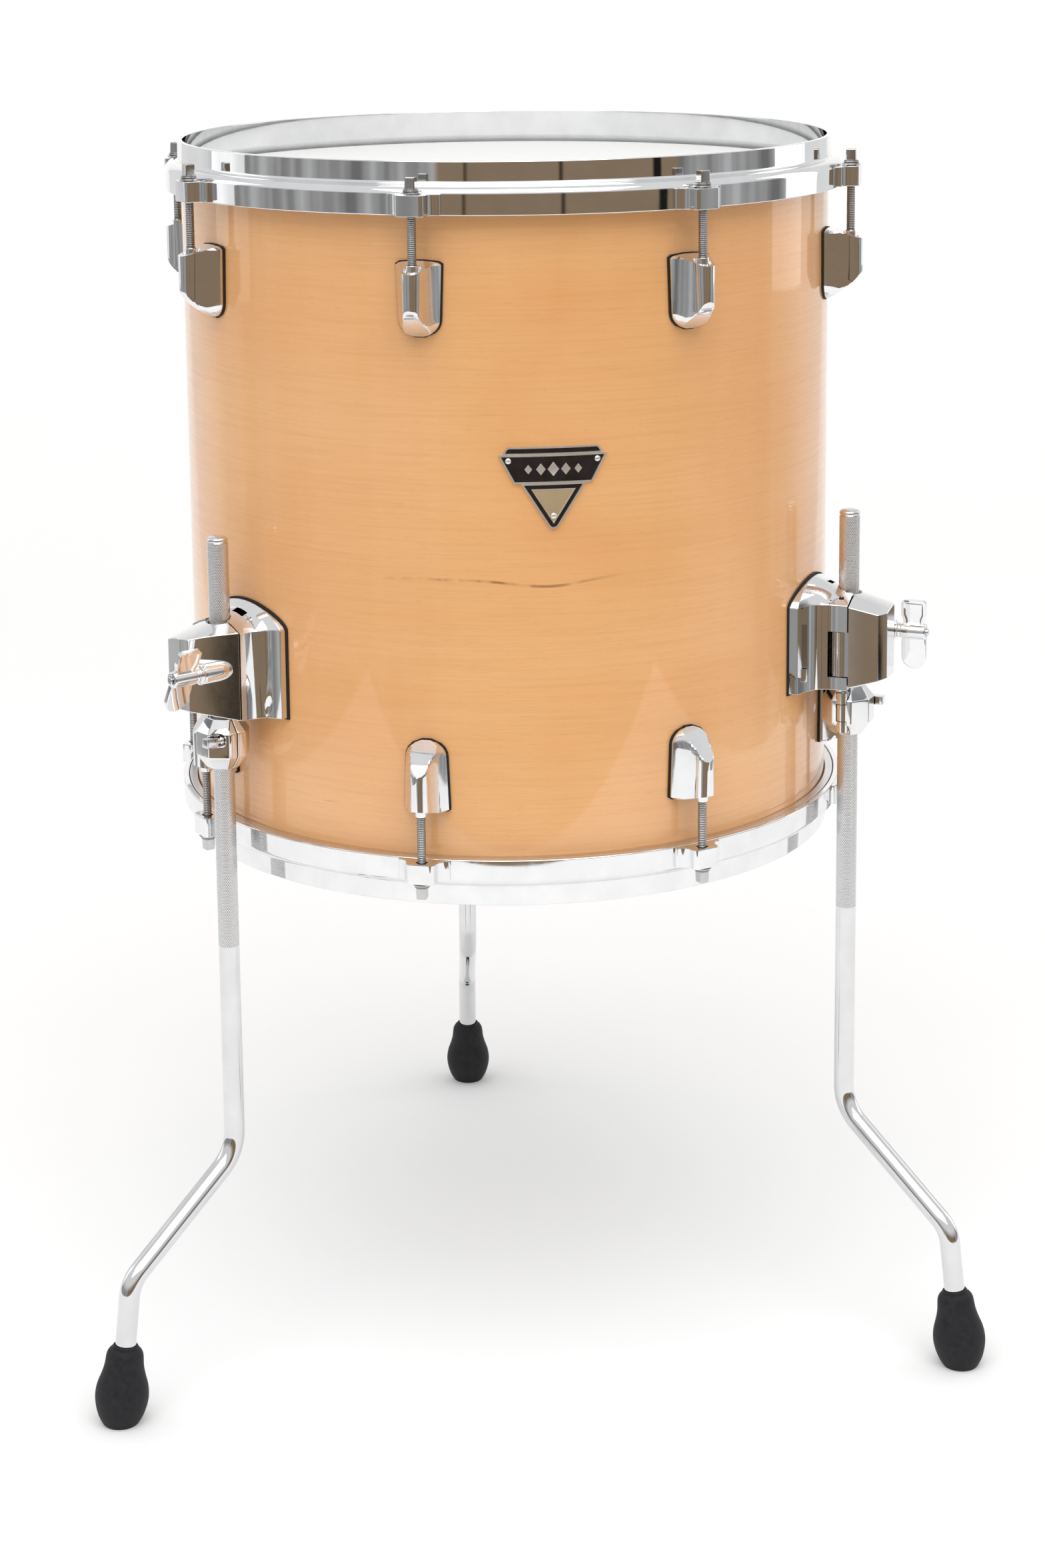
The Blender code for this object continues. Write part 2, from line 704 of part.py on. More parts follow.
def bracket_meshes():
    """The two halves of a bracket, the outer one about its hinge pin."""
    pin = (HINGE_X, -HINGE_OFFSET)
    levels = (HINGE_BOTTOM, HINGE_LOW, HINGE_HIGH, HINGE_TOP)
    halves = (base_block(), jaw_block())
    base, jaw = hinge_halves(*halves, pin, HINGE_KNUCKLE_RADIUS, HINGE_PIN_RADIUS, levels, ROUND_STEPS)
    bore_top = BRACKET_TOP + PLATE_RISE
    base = cut(base, leg_bore(BRACKET_BOTTOM, bore_top))
    jaw = cut(jaw, leg_bore(BRACKET_BOTTOM, bore_top))
    base = cut(base, stud_bore(STUD_RADIUS + STUD_SWING_CLEARANCE, -STUD_INTO_BASE - RUNNING_GAP, OVERCUT))
    jaw = cut(jaw, stud_bore(STUD_RADIUS + RUNNING_GAP, -OVERCUT, JAW_DEPTH + OVERCUT))
    moved(jaw, Matrix.Translation((-pin[0], -pin[1], 0)))
    return base, jaw, Matrix.Translation((pin[0], pin[1], 0))


def lock_levels():
    """The bottom and the top of a memory lock."""
    top = BRACKET_BOTTOM - LOCK_UNDER_BRACKET
    return top - LOCK_HEIGHT, top


def lock_meshes():
    """The two halves of a memory lock, the outer one about its hinge pin."""
    bottom, top = lock_levels()
    end = LOCK_RADIUS - LOCK_CHAMFER
    profile = (
        (0, bottom),
        (end, bottom),
        (LOCK_RADIUS, bottom + LOCK_CHAMFER),
        (LOCK_RADIUS, top - LOCK_CHAMFER),
        (end, top),
        (0, top),
    )
    halves = []
    for name, side in (("memory_lock_body", -1), ("memory_lock_jaw", 1)):
        full = moved(turned(name, profile, LOCK_SIDES), Matrix.Rotation(math.pi / LOCK_SIDES, 4, "Z"))
        wide = 2 * LOCK_RADIUS
        near = side * PARTING_GAP / 2
        outline = ((near, -wide, bottom - OVERCUT), (near, wide, bottom - OVERCUT),
                   (near, wide, top + OVERCUT), (near, -wide, top + OVERCUT))
        halves.append(combined(full, prism("side", outline, (side * wide, 0, 0)), "INTERSECT"))
    pin = (0, -LOCK_HINGE_OFFSET)
    rise = LOCK_HEIGHT / 3
    levels = (bottom + LOCK_CHAMFER / 2, bottom + rise, top - rise, top - LOCK_CHAMFER / 2)
    body, jaw = hinge_halves(*halves, pin, LOCK_KNUCKLE_RADIUS, LOCK_PIN_RADIUS, levels, HOLE_STEPS)
    middle = (bottom + top) / 2
    screw_place = Matrix.Translation((0, LOCK_SCREW_OFFSET, middle))
    screw_hole = moved(rod("bore", LOCK_SCREW_RADIUS, -LOCK_RADIUS, LOCK_RADIUS, axis="X"), screw_place)
    body = cut(body, leg_bore(bottom, top))
    jaw = cut(jaw, leg_bore(bottom, top), screw_hole)
    moved(jaw, Matrix.Translation((-pin[0], -pin[1], 0)))
    return body, jaw, Matrix.Translation((pin[0], pin[1], 0))


def wing_nut_mesh():
    """A wing nut with its stud, about the stud's axis along +X from the parting plane."""
    start = BOSS_END + RUNNING_GAP
    end = start + NUT_LENGTH
    near = JAW_DEPTH + WING_FROM_JAW / 2
    far = near + WING_WIDTH
    y = -WING_THICKNESS / 2
    upper = [(near, UPPER_WING - WING_CORNER), (near + WING_CORNER, UPPER_WING)]
    upper += [(far - WING_CORNER, UPPER_WING), (far, UPPER_WING - WING_CORNER)]
    lower = []
    radius = WING_WIDTH / 2
    for index in range(7):
        angle = -math.pi * index / 6
        lower.append((near + radius + radius * math.cos(angle), -LOWER_WING + radius + radius * math.sin(angle)))
    outline = [(x, y, z) for x, z in upper + lower]
    wings = prism("wings", outline, (0, WING_THICKNESS, 0))
    eye = rod("eye", WING_EYE_RADIUS, -OVERCUT, OVERCUT)
    eye_place = Matrix.Translation((near + radius, 0, UPPER_WING * 0.66)) @ Matrix.Rotation(math.pi / 2, 4, "X")
    wings = cut(wings, moved(eye, eye_place))
    nut = turned(
        "wing_nut",
        (
            (0, -STUD_INTO_BASE),
            (STUD_RADIUS, -STUD_INTO_BASE),
            (STUD_RADIUS, start),
            (NUT_COLLAR_RADIUS, start),
            (NUT_COLLAR_RADIUS, start + NUT_COLLAR),
            (NUT_RADIUS, start + NUT_COLLAR),
            (NUT_RADIUS, end),
            (0, end),
        ),
        ROUND_STEPS,
        "X",
    )
    return joined(nut, wings)


# Legs and feet, in a frame on the leg's axis with +X towards the foot and z = 0 on the floor


def rounded_path(corners, radii, steps=5):
    """A path through corners, each inner one rounded to its radius."""
    path = [corners[0]]
    for before, corner, after, radius in zip(corners, corners[1:], corners[2:], radii):
        back = (before - corner).normalized()
        ahead = (after - corner).normalized()
        half_angle = back.angle(ahead) / 2
        centre = corner + (back + ahead).normalized() * radius / math.sin(half_angle)
        setback = radius / math.tan(half_angle)
        first = (corner + back * setback - centre).normalized()
        last = (corner + ahead * setback - centre).normalized()
        for index in range(steps + 1):
            path.append(centre + first.slerp(last, index / steps) * radius)
    path.append(corners[-1])
    return path


def leg_top():
    """The top of a leg above the floor."""
    return SHELL_HEIGHT_ABOVE_FLOOR + BRACKET_TOP + LEG_ABOVE_BRACKET


def shin_direction():
    """The upward direction of the lowest stretch of a leg."""
    return Vector((KNEE_REACH - FOOT_REACH, 0, KNEE_HEIGHT)).normalized()


def leg_curve():
    """A bent round leg as a curve with a round bevel."""
    end = Vector((FOOT_REACH, 0, 0)) + shin_direction() * LEG_END_IN_FOOT
    corners = [
        Vector((0, 0, leg_top())),
        Vector((0, 0, LEG_BEND_HEIGHT)),
        Vector((KNEE_REACH, 0, KNEE_HEIGHT)),
        end,
    ]
    path = rounded_path(corners, (LEG_BEND_RADIUS, KNEE_RADIUS))
    curve = bpy.data.curves.new("leg", "CURVE")
    curve.dimensions = "3D"
    curve.bevel_depth = LEG_RADIUS
    curve.bevel_resolution = 3
    curve.use_fill_caps = True
    curve.render_resolution_u = 0
    spline = curve.splines.new("POLY")
    spline.points.add(len(path) - 1)
    for point, place in zip(spline.points, path):
        point.co = (*place, 1)
    return curve


def foot_mesh():
    """A rubber foot on the leg's end, with a neck, a waist and a bulb, flattened by the floor."""
    bore = LEG_RADIUS + RUNNING_GAP
    collar = bore + FOOT_COLLAR_WALL
    profile = FOOT_PROFILE + (
        (collar + GAP, FOOT_COLLAR_BOTTOM),
        (collar, FOOT_TOP),
        (bore, FOOT_TOP),
        (bore, LEG_END_IN_FOOT - RUNNING_GAP),
        (0, LEG_END_IN_FOOT - RUNNING_GAP),
    )
    foot = turned("rubber_foot", profile, ROUND_STEPS)
    tilt = Vector((0, 0, 1)).rotation_difference(shin_direction()).to_matrix().to_4x4()
    moved(foot, Matrix.Translation((FOOT_REACH, 0, 0)) @ tilt)
    bm = bmesh.new()
    bm.from_mesh(foot)
    geometry = bm.verts[:] + bm.edges[:] + bm.faces[:]
    cut_away = bmesh.ops.bisect_plane(bm, geom=geometry, plane_co=(0, 0, 0), plane_no=(0, 0, 1), clear_inner=True)
    rim = [item for item in cut_away["geom_cut"] if isinstance(item, bmesh.types.BMEdge)]
    bmesh.ops.edgeloop_fill(bm, edges=rim)
    return to_mesh(bm, "rubber_foot")


def make_leg_stations(parent, finishes):
    """A bracket, a memory lock, a leg and a foot at each station."""
    base, jaw, jaw_pin = bracket_meshes()
    lock_body, lock_jaw, lock_pin = lock_meshes()
    nut = wing_nut_mesh()
    leg = leg_curve()
    foot = foot_mesh()
    for name, azimuth, turn, nut_turn in STATIONS:
        at_edge = station_matrix(azimuth, LEG_CIRCLE, SHELL_HEIGHT_ABOVE_FLOOR)
        at_floor = station_matrix(azimuth, LEG_CIRCLE) @ Matrix.Rotation(turn, 4, "Z")
        on_stud = at_edge @ Matrix.Translation((0, STUD_OFFSET, STUD_HEIGHT)) @ Matrix.Rotation(nut_turn, 4, "X")
        piece(name + "_bracket_base", base, finishes["chrome"], parent, at_edge)
        piece(name + "_bracket_jaw", jaw, finishes["chrome"], parent, at_edge @ jaw_pin)
        piece(name + "_wing_nut", nut, finishes["chrome"], parent, on_stud)
        piece(name + "_memory_lock_body", lock_body, finishes["chrome"], parent, at_edge)
        piece(name + "_memory_lock_jaw", lock_jaw, finishes["chrome"], parent, at_edge @ lock_pin)
        piece(name + "_leg", leg, finishes["steel"], parent, at_floor)
        piece(name + "_rubber_foot", foot, finishes["rubber"], parent, at_floor)


def main():
    for obj in list(bpy.data.objects):
        bpy.data.objects.remove(obj)
    finishes = {
        "maple": material("lacquered_maple", (0.75, 0.42, 0.16), 0.15),
        "chrome": material("chrome_plate", (0.80, 0.80, 0.81), 0.08, 1.0),
        "steel": material("plated_steel", (0.66, 0.66, 0.67), 0.25, 1.0),
        "coated_film": material("coated_film", (0.87, 0.87, 0.86), 0.55),
        "clear_film": material("clear_film", (0.70, 0.72, 0.73), 0.20),
        "badge": material("badge_enamel", (0.05, 0.05, 0.05), 0.25),
        "rubber": material("black_rubber", (0.03, 0.03, 0.03), 0.75),
    }
    axis = bpy.data.objects.new("drum_axis", None)
    bpy.context.collection.objects.link(axis)
    axis.location = drum_axis()
    make_shell(axis, finishes["maple"])
    make_heads_and_hoops(axis, finishes)
    make_lugs_and_rods(axis, finishes)
    make_badge(axis, finishes["badge"])
    make_air_vent(axis, finishes["rubber"])
    make_leg_stations(axis, finishes)


main()
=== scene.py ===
"""The looks of a floor tom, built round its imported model. Metres, +Z up, azimuth 0 is -Y, the badge side."""

import json
import math

import bmesh
import bpy
from bmesh.types import BMEdge, BMVert
from bpy.props import FloatProperty, FloatVectorProperty, IntProperty, PointerProperty
from mathutils import Matrix, Vector


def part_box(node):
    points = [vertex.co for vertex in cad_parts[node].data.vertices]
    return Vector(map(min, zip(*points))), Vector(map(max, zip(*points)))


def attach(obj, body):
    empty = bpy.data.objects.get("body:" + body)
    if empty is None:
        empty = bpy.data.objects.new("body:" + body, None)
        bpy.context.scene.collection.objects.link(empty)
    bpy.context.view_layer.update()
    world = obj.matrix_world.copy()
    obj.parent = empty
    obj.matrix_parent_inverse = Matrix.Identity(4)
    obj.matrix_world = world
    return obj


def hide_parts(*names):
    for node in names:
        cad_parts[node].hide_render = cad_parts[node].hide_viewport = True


bl_info = {
    "name": "Floor Tom",
    "version": (1, 0, 0),
    "blender": (4, 5, 0),
    "location": "View3D > Sidebar > Floor Tom",
    "description": "Builds the pieces of a floor tom with their finishes",
    "category": "Object",
}

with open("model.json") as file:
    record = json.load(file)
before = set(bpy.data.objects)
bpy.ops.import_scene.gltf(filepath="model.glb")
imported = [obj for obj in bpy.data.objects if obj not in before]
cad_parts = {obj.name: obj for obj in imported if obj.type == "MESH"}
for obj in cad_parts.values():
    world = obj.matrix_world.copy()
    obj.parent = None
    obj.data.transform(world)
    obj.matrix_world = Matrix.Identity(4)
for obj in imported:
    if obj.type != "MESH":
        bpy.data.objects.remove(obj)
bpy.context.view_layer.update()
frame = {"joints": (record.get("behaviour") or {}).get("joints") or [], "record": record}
SHELL_LOW, SHELL_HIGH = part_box("shell")
AXIS = Vector(((SHELL_LOW.x + SHELL_HIGH.x) / 2, (SHELL_LOW.y + SHELL_HIGH.y) / 2, 0))
SHELL_RADIUS = (SHELL_HIGH.x - SHELL_LOW.x) / 2
BOTTOM_EDGE, TOP_EDGE = SHELL_LOW.z, SHELL_HIGH.z
MIDDLE = (BOTTOM_EDGE + TOP_EDGE) / 2
PINS = {joint["name"]: Vector(joint["pos_m"]) for joint in frame["joints"] if "pos_m" in joint}
FEET = {mount["name"]: Vector(mount["pos_m"]) for mount in frame["record"]["mounts"]}
STATIONS = ("front_left", "front_right", "rear")
EDGE_PEAK = SHELL_RADIUS - 0.0024
LUG_BACK = SHELL_RADIUS + 0.0012
BRACKET_BACK = SHELL_RADIUS + 0.0013
EAR_TOP = 0.0045
LUG_INSET = 0.0345
CHROME, GASKET = ("chrome plate",), ("gasket rubber",)
NUT_TURNS = {"front_left": math.radians(-27), "front_right": math.radians(4), "rear": math.radians(-20)}
WELD = 0.000002
GAP = 0.0003
FILM_SIDE = SHELL_RADIUS + 2 * GAP


def azimuth_of(place):
    """The azimuth of a point round the drum's axis."""
    return math.atan2(place.x - AXIS.x, AXIS.y - place.y)


def on_shell(azimuth, radius, height, over=False):
    """A frame with +X outwards, +Y along the shell and +Z up, or turned over about +X."""
    out = Vector((math.sin(azimuth), -math.cos(azimuth), 0)) * radius + Vector((0, 0, height)) + AXIS
    facing = Matrix.Rotation(azimuth - math.pi / 2, 4, "Z")
    return Matrix.Translation(out) @ facing @ Matrix.Rotation(math.pi if over else 0, 4, "X")


ROD_AZIMUTHS = [azimuth_of(PINS[f"upper_rod_{k}_turn"]) for k in range(1, 9)]
ROD_CIRCLE = (PINS["upper_rod_1_turn"] - AXIS).xy.length
LEG_AZIMUTHS = {name: azimuth_of(PINS[name + "_leg_swivel"]) for name in STATIONS}
LEG_CIRCLE = (PINS["rear_leg_swivel"] - AXIS).xy.length


def at_leg(name):
    """A station's frame: on its leg's axis, +X outwards, from the lower bearing edge up."""
    return on_shell(LEG_AZIMUTHS[name], LEG_CIRCLE, BOTTOM_EDGE)


def length(name, description, default):
    """A size property."""
    return FloatProperty(name=name, description=description, default=default, unit="LENGTH")


class DrumSizes(bpy.types.PropertyGroup):
    """Sizes of the drum's pieces."""

    steps: IntProperty(name="Turn steps", description="Steps round the shell", default=224, min=64)
    shell_wall: length("Shell wall", "Thickness of the shell", 0.0075)
    film: length("Film", "Thickness of a head's film", 0.0006)
    hoop_rise: length("Hoop rise", "Rim above the head", 0.022)
    ear_width: length("Ear width", "Width of an ear's core", 0.0175)
    rod_radius: length("Rod radius", "Radius of a rod", 0.0025)
    lug_width: length("Lug width", "Width of a lug's plate", 0.0272)
    lug_height: length("Lug height", "Height of a lug", 0.0435)
    badge_width: length("Badge width", "Width of the badge", 0.063)
    leg_radius: length("Leg radius", "Radius of a leg", 0.00635)
    thread_pitch: length("Thread pitch", "Pitch of a rod", 0.0011)
    knurl_height: length("Knurl end", "Lower end of the knurl", 0.276)


def colour(name, description, default):
    """A colour property."""
    return FloatVectorProperty(
        name=name, description=description, default=default, size=3, min=0, max=1, subtype="COLOR"
    )


class DrumColours(bpy.types.PropertyGroup):
    """Colours of the drum's finishes."""

    maple_pale: colour("Pale maple", "Pale bands of the maple", (0.96, 0.535, 0.240))
    maple_deep: colour("Deep maple", "Deep bands of the maple", (0.88, 0.43, 0.158))
    streak: colour("Mineral streak", "Thin brown streaks in the maple", (0.27, 0.10, 0.035))
    chrome: colour("Chrome", "Chrome plate", (0.83, 0.835, 0.845))
    steel: colour("Steel", "Rods and knurled legs", (0.60, 0.595, 0.59))
    rubber: colour("Rubber", "Feet and gaskets", (0.011, 0.0115, 0.013))
    coating: colour("Coating", "Coated batter film", (0.83, 0.83, 0.82))
    enamel: colour("Enamel", "Badge enamel", (0.012, 0.010, 0.010))
    gold: colour("Gold", "Badge centre", (0.80, 0.66, 0.43))


# Making meshes


def spun(profile, steps, axis="Z"):
    """A profile of (radius, height) points turned a full turn. A profile off the axis is a closed ring."""
    bm = bmesh.new()
    verts = [bm.verts.new((radius, 0, height)) for radius, height in profile]
    ring = profile[0][0] > 0
    pairs = zip(verts, verts[1:] + verts[:1]) if ring else zip(verts, verts[1:])
    edges = [bm.edges.new(pair) for pair in pairs]
    bmesh.ops.spin(
        bm, geom=verts + edges, axis=(0, 0, 1), cent=(0, 0, 0), angle=math.tau, steps=steps, use_merge=True
    )
    bmesh.ops.remove_doubles(bm, verts=bm.verts, dist=WELD)
    if axis == "X":
        bmesh.ops.rotate(bm, verts=bm.verts, matrix=Matrix.Rotation(math.pi / 2, 3, "Y"))
    bmesh.ops.recalc_face_normals(bm, faces=bm.faces)
    return bm


def bar(radius, start, end, steps=32, axis="Z"):
    """A plain round bar."""
    return spun(((0, start), (radius, start), (radius, end), (0, end)), steps, axis)


def cuboid(middle, size):
    """A plain block round its middle."""
    bm = bmesh.new()
    bmesh.ops.create_cube(bm, size=1, matrix=Matrix.Translation(middle) @ Matrix.Diagonal((*size, 1)))
    return bm


def block(low, high):
    """A plain block between two corners."""
    return cuboid((Vector(low) + Vector(high)) / 2, Vector(high) - Vector(low))


def lofted(rings):
    """A closed solid through rings of the same number of points."""
    bm = bmesh.new()
    loops = []
    for ring in rings:
        verts = [bm.verts.new(point) for point in ring]
        loops.append([bm.edges.new(pair) for pair in zip(verts, verts[1:] + verts[:1])])
    for low, high in zip(loops, loops[1:]):
        bmesh.ops.bridge_loops(bm, edges=low + high)
    bmesh.ops.edgeloop_fill(bm, edges=loops[0])
    bmesh.ops.edgeloop_fill(bm, edges=loops[-1])
    bmesh.ops.recalc_face_normals(bm, faces=bm.faces)
    return bm


def picked(items, kind):
    """The items of one kind out of an operator's result."""
    return [item for item in items if isinstance(item, kind)]


def slab(outline, depth):
    """A flat outline of points, extruded along a vector."""
    bm = bmesh.new()
    face = bm.faces.new([bm.verts.new(point) for point in outline])
    grown = bmesh.ops.extrude_face_region(bm, geom=[face])
    bmesh.ops.translate(bm, verts=picked(grown["geom"], BMVert), vec=depth)
    bmesh.ops.recalc_face_normals(bm, faces=bm.faces)
    return bm


def halved(bm, middle, normal, **clear):
    """Cuts a mesh along a plane and gives the edges of the cut."""
    geometry = bm.verts[:] + bm.edges[:] + bm.faces[:]
    made = bmesh.ops.bisect_plane(bm, geom=geometry, plane_co=middle, plane_no=normal, **clear)
    return picked(made["geom_cut"], BMEdge)


def at(bm, matrix):
    """The same mesh after a transform."""
    bm.transform(matrix)
    return bm


def shifted(bm, x=0.0, y=0.0, z=0.0):
    """The same mesh moved along."""
    return at(bm, Matrix.Translation((x, y, z)))


def combined(solid, tool, operation):
    """The exact Boolean of two meshes. Both are used up."""
    objects = []
    for bm in (solid, tool):
        mesh = bpy.data.meshes.new("part")
        bm.to_mesh(mesh)
        bm.free()
        objects.append(bpy.data.objects.new("part", mesh))
        bpy.context.collection.objects.link(objects[-1])
    modifier = objects[0].modifiers.new("combine", "BOOLEAN")
    modifier.operation = operation
    modifier.solver = "EXACT"
    modifier.object = objects[1]
    result = bmesh.new()
    result.from_object(objects[0], bpy.context.evaluated_depsgraph_get())
    for obj in objects:
        mesh = obj.data
        bpy.data.objects.remove(obj)
        bpy.data.meshes.remove(mesh)
    bmesh.ops.remove_doubles(result, verts=result.verts, dist=WELD)
    bmesh.ops.dissolve_degenerate(result, edges=result.edges, dist=WELD)
    return result


def cut(solid, *tools):
    """The solid with each tool taken out of it."""
    for tool in tools:
        solid = combined(solid, tool, "DIFFERENCE")
    return solid


def joined(solid, *tools):
    """The solid with each tool added to it."""
    for tool in tools:
        solid = combined(solid, tool, "UNION")
    return solid


def together(*parts):
    """Several closed meshes in one, without a Boolean."""
    whole = bmesh.new()
    for part in parts:
        mesh = bpy.data.meshes.new("part")
        part.to_mesh(mesh)
        part.free()
        whole.from_mesh(mesh)
        bpy.data.meshes.remove(mesh)
    return whole


def softened(bm, width, angle=28, segments=2):
    """Rounds every edge that is sharper than an angle."""
    bmesh.ops.dissolve_limit(bm, angle_limit=math.radians(0.5), verts=bm.verts, edges=bm.edges)
    sharp = [e for e in bm.edges if len(e.link_faces) == 2 and e.calc_face_angle(0) > math.radians(angle)]
    bmesh.ops.bevel(
        bm, geom=sharp, offset=width, offset_type="OFFSET", segments=segments, profile=0.5,
        affect="EDGES", clamp_overlap=True, material=-1,
    )
    return bm


def smooth_line(points, per=5):
    """A Catmull-Rom line through (radius, height) points."""
    line = []
    for index in range(len(points) - 1):
        a, b, c, d = (Vector(points[min(max(index + k, 0), len(points) - 1)]) for k in (-1, 0, 1, 2))
        for step in range(per):
            t = step / per
            line.append(tuple(0.5 * (2 * b + (c - a) * t + (2 * a - 5 * b + 4 * c - d) * t * t
                                     + (3 * b - a - 3 * c + d) * t * t * t)))
    return line + [tuple(points[-1])]


def finished(name, bm, body, slot, finishes, stands_for=(), sharp=38):
    """Makes a mesh into a piece that rides on its body and takes its finish."""
    bmesh.ops.recalc_face_normals(bm, faces=bm.faces)
    mesh = bpy.data.meshes.new(name)
    bm.to_mesh(mesh)
    bm.free()
    for finish in finishes:
        mesh.materials.append(bpy.data.materials[finish])
    mesh.shade_smooth()
    mesh.set_sharp_from_angle(angle=math.radians(sharp))
    obj = bpy.data.objects.new(name, mesh)
    bpy.context.collection.objects.link(obj)
    weighted = obj.modifiers.new("flat faces", "WEIGHTED_NORMAL")
    weighted.keep_sharp = True
    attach(obj, body)
    if stands_for:
        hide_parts(*stands_for)
    return obj


def copies(place, rows):
    """A finished copy at a place for each row of a name, a mesh and what finished() takes."""
    for name, bm, *rest in rows:
        finished(name, at(bm.copy(), place), *rest)


def freed(*meshes):
    """Frees meshes that were only copied."""
    for bm in meshes:
        bm.free()


# Making finishes


def add(tree, kind, sockets=None, **settings):
    """Adds a node, with its settings, and its sockets set to a value or linked."""
    made = tree.nodes.new(kind)
    for key, value in settings.items():
        setattr(made, key, value)
    for key, value in (sockets or {}).items():
        if isinstance(value, bpy.types.NodeSocket):
            tree.links.new(value, made.inputs[key])
        else:
            made.inputs[key].default_value = value
    return made


def maths(tree, operation, a, b=0.5, c=0.5, clamp=False):
    """The output of a Math node."""
    return add(tree, "ShaderNodeMath", {0: a, 1: b, 2: c}, operation=operation, use_clamp=clamp).outputs[0]


def times(tree, a, b):
    """The product of two values."""
    return maths(tree, "MULTIPLY", a, b)


def plus(tree, a, b):
    """The sum of two values."""
    return maths(tree, "ADD", a, b)


def noise(tree, vector, scale, detail=3.0, roughness=0.55, distortion=0.0):
    """The value of a Noise Texture."""
    keys = ("Vector", "Scale", "Detail", "Roughness", "Distortion")
    values = (vector, scale, detail, roughness, distortion)
    return add(tree, "ShaderNodeTexNoise", dict(zip(keys, values))).outputs[0]


def stretched(tree, vector, scale, location=(0, 0, 0)):
    """A vector after a Mapping node."""
    return add(tree, "ShaderNodeMapping", {"Vector": vector, "Scale": scale, "Location": location}).outputs[0]


def ranged(tree, value, low, high, to_low=0.0, to_high=1.0):
    """A value mapped from one range to another and clamped."""
    sockets = {"Value": value, "From Min": low, "From Max": high, "To Min": to_low, "To Max": to_high}
    return add(tree, "ShaderNodeMapRange", sockets).outputs[0]


def mixed(tree, factor, a, b):
    """Two colours mixed."""
    return add(tree, "ShaderNodeMix", {0: factor, 6: a, 7: b}, data_type="RGBA").outputs[2]


def group(name, inputs, outputs, build):
    """A node group with named sockets, whose insides build() makes."""
    tree = bpy.data.node_groups.new(name, "ShaderNodeTree")
    for label, kind, value in inputs:
        socket = tree.interface.new_socket(label, in_out="INPUT", socket_type=kind)
        if value is not None:
            socket.default_value = value
    for label, kind in outputs:
        tree.interface.new_socket(label, in_out="OUTPUT", socket_type=kind)
    source = add(tree, "NodeGroupInput").outputs
    results = build(tree, source)
    add(tree, "NodeGroupOutput", dict(zip([label for label, _ in outputs], results)))


FLOAT, VECTOR = "NodeSocketFloat", "NodeSocketVector"


def build_handling_marks(tree, source):
    """Faint smears that lift the roughness, and a very slight unevenness of the surface."""
    large = noise(tree, source["Vector"], 28.0, 4.0)
    fine = noise(tree, source["Vector"], 420.0, 3.0)
    smear = times(tree, ranged(tree, large, 0.45, 0.75), ranged(tree, fine, 0.35, 0.7))
    roughness = maths(tree, "MULTIPLY_ADD", smear, source["Smear"], source["Roughness"])
    uneven = noise(tree, source["Vector"], 60.0, 2.0)
    return roughness, uneven


def build_pebbles(tree, source):
    """Fine irregular grains, as height and as a mask."""
    size = source["Scale"]
    sockets = {"Vector": source["Vector"], "Scale": size}
    grains = add(tree, "ShaderNodeTexVoronoi", sockets, feature="F1").outputs[0]
    soft = noise(tree, source["Vector"], times(tree, size, 0.35), 5.0, 0.65)
    height = plus(tree, times(tree, grains, 0.6), times(tree, soft, 0.8))
    return height, soft


def build_grooves(tree, source):
    """Even grooves across a height, such as a screw thread."""
    turns = maths(tree, "DIVIDE", source["Along"], source["Pitch"])
    wave = maths(tree, "SINE", times(tree, turns, math.tau))
    return (ranged(tree, wave, -0.8, 0.9),)


def build_groups():
    """The effects that several finishes share."""
    group("handling marks", (("Vector", VECTOR, None), ("Roughness", FLOAT, 0.05), ("Smear", FLOAT, 0.05)),
          (("Roughness", FLOAT), ("Height", FLOAT)), build_handling_marks)
    group("pebbles", (("Vector", VECTOR, None), ("Scale", FLOAT, 900.0)),
          (("Height", FLOAT), ("Mask", FLOAT)), build_pebbles)
    group("grooves", (("Along", FLOAT, 0.0), ("Pitch", FLOAT, 0.001)), (("Height", FLOAT),), build_grooves)


def finish(name, **constants):
    """A new material's tree, its shader and its Object coordinates."""
    made = bpy.data.materials.new(name)
    made.use_nodes = True
    tree = made.node_tree
    shader = tree.nodes["Principled BSDF"]
    for key, value in constants.items():
        shader.inputs[key.replace("_", " ")].default_value = value
    return tree, shader, add(tree, "ShaderNodeTexCoord").outputs["Object"]


def place_group(tree, name, sockets):
    """A node group with its sockets set or linked."""
    return add(tree, "ShaderNodeGroup", sockets, node_tree=bpy.data.node_groups[name]).outputs


def bumped(tree, shader, height, strength, distance):
    """Feeds a height into the shader's normal."""
    bump = add(tree, "ShaderNodeBump", {"Height": height, "Strength": strength, "Distance": distance})
    tree.links.new(bump.outputs[0], shader.inputs["Normal"])
    return bump


def rgba(value):
    """A colour with full alpha."""
    return (*value, 1.0)


def metal_finish(name, tint, roughness, smear, strength=0.02, distance=0.0004):
    """A polished metal with handling marks."""
    tree, shader, place = finish(name, Metallic=1.0)
    marks = place_group(tree, "handling marks", {"Vector": place, "Roughness": roughness, "Smear": smear})
    tree.links.new(marks["Roughness"], shader.inputs["Roughness"])
    shade = mixed(tree, ranged(tree, marks["Height"], 0.35, 0.65), rgba(tint), rgba([c * 0.94 for c in tint]))
    tree.links.new(shade, shader.inputs["Base Color"])
    bumped(tree, shader, marks["Height"], strength, distance)


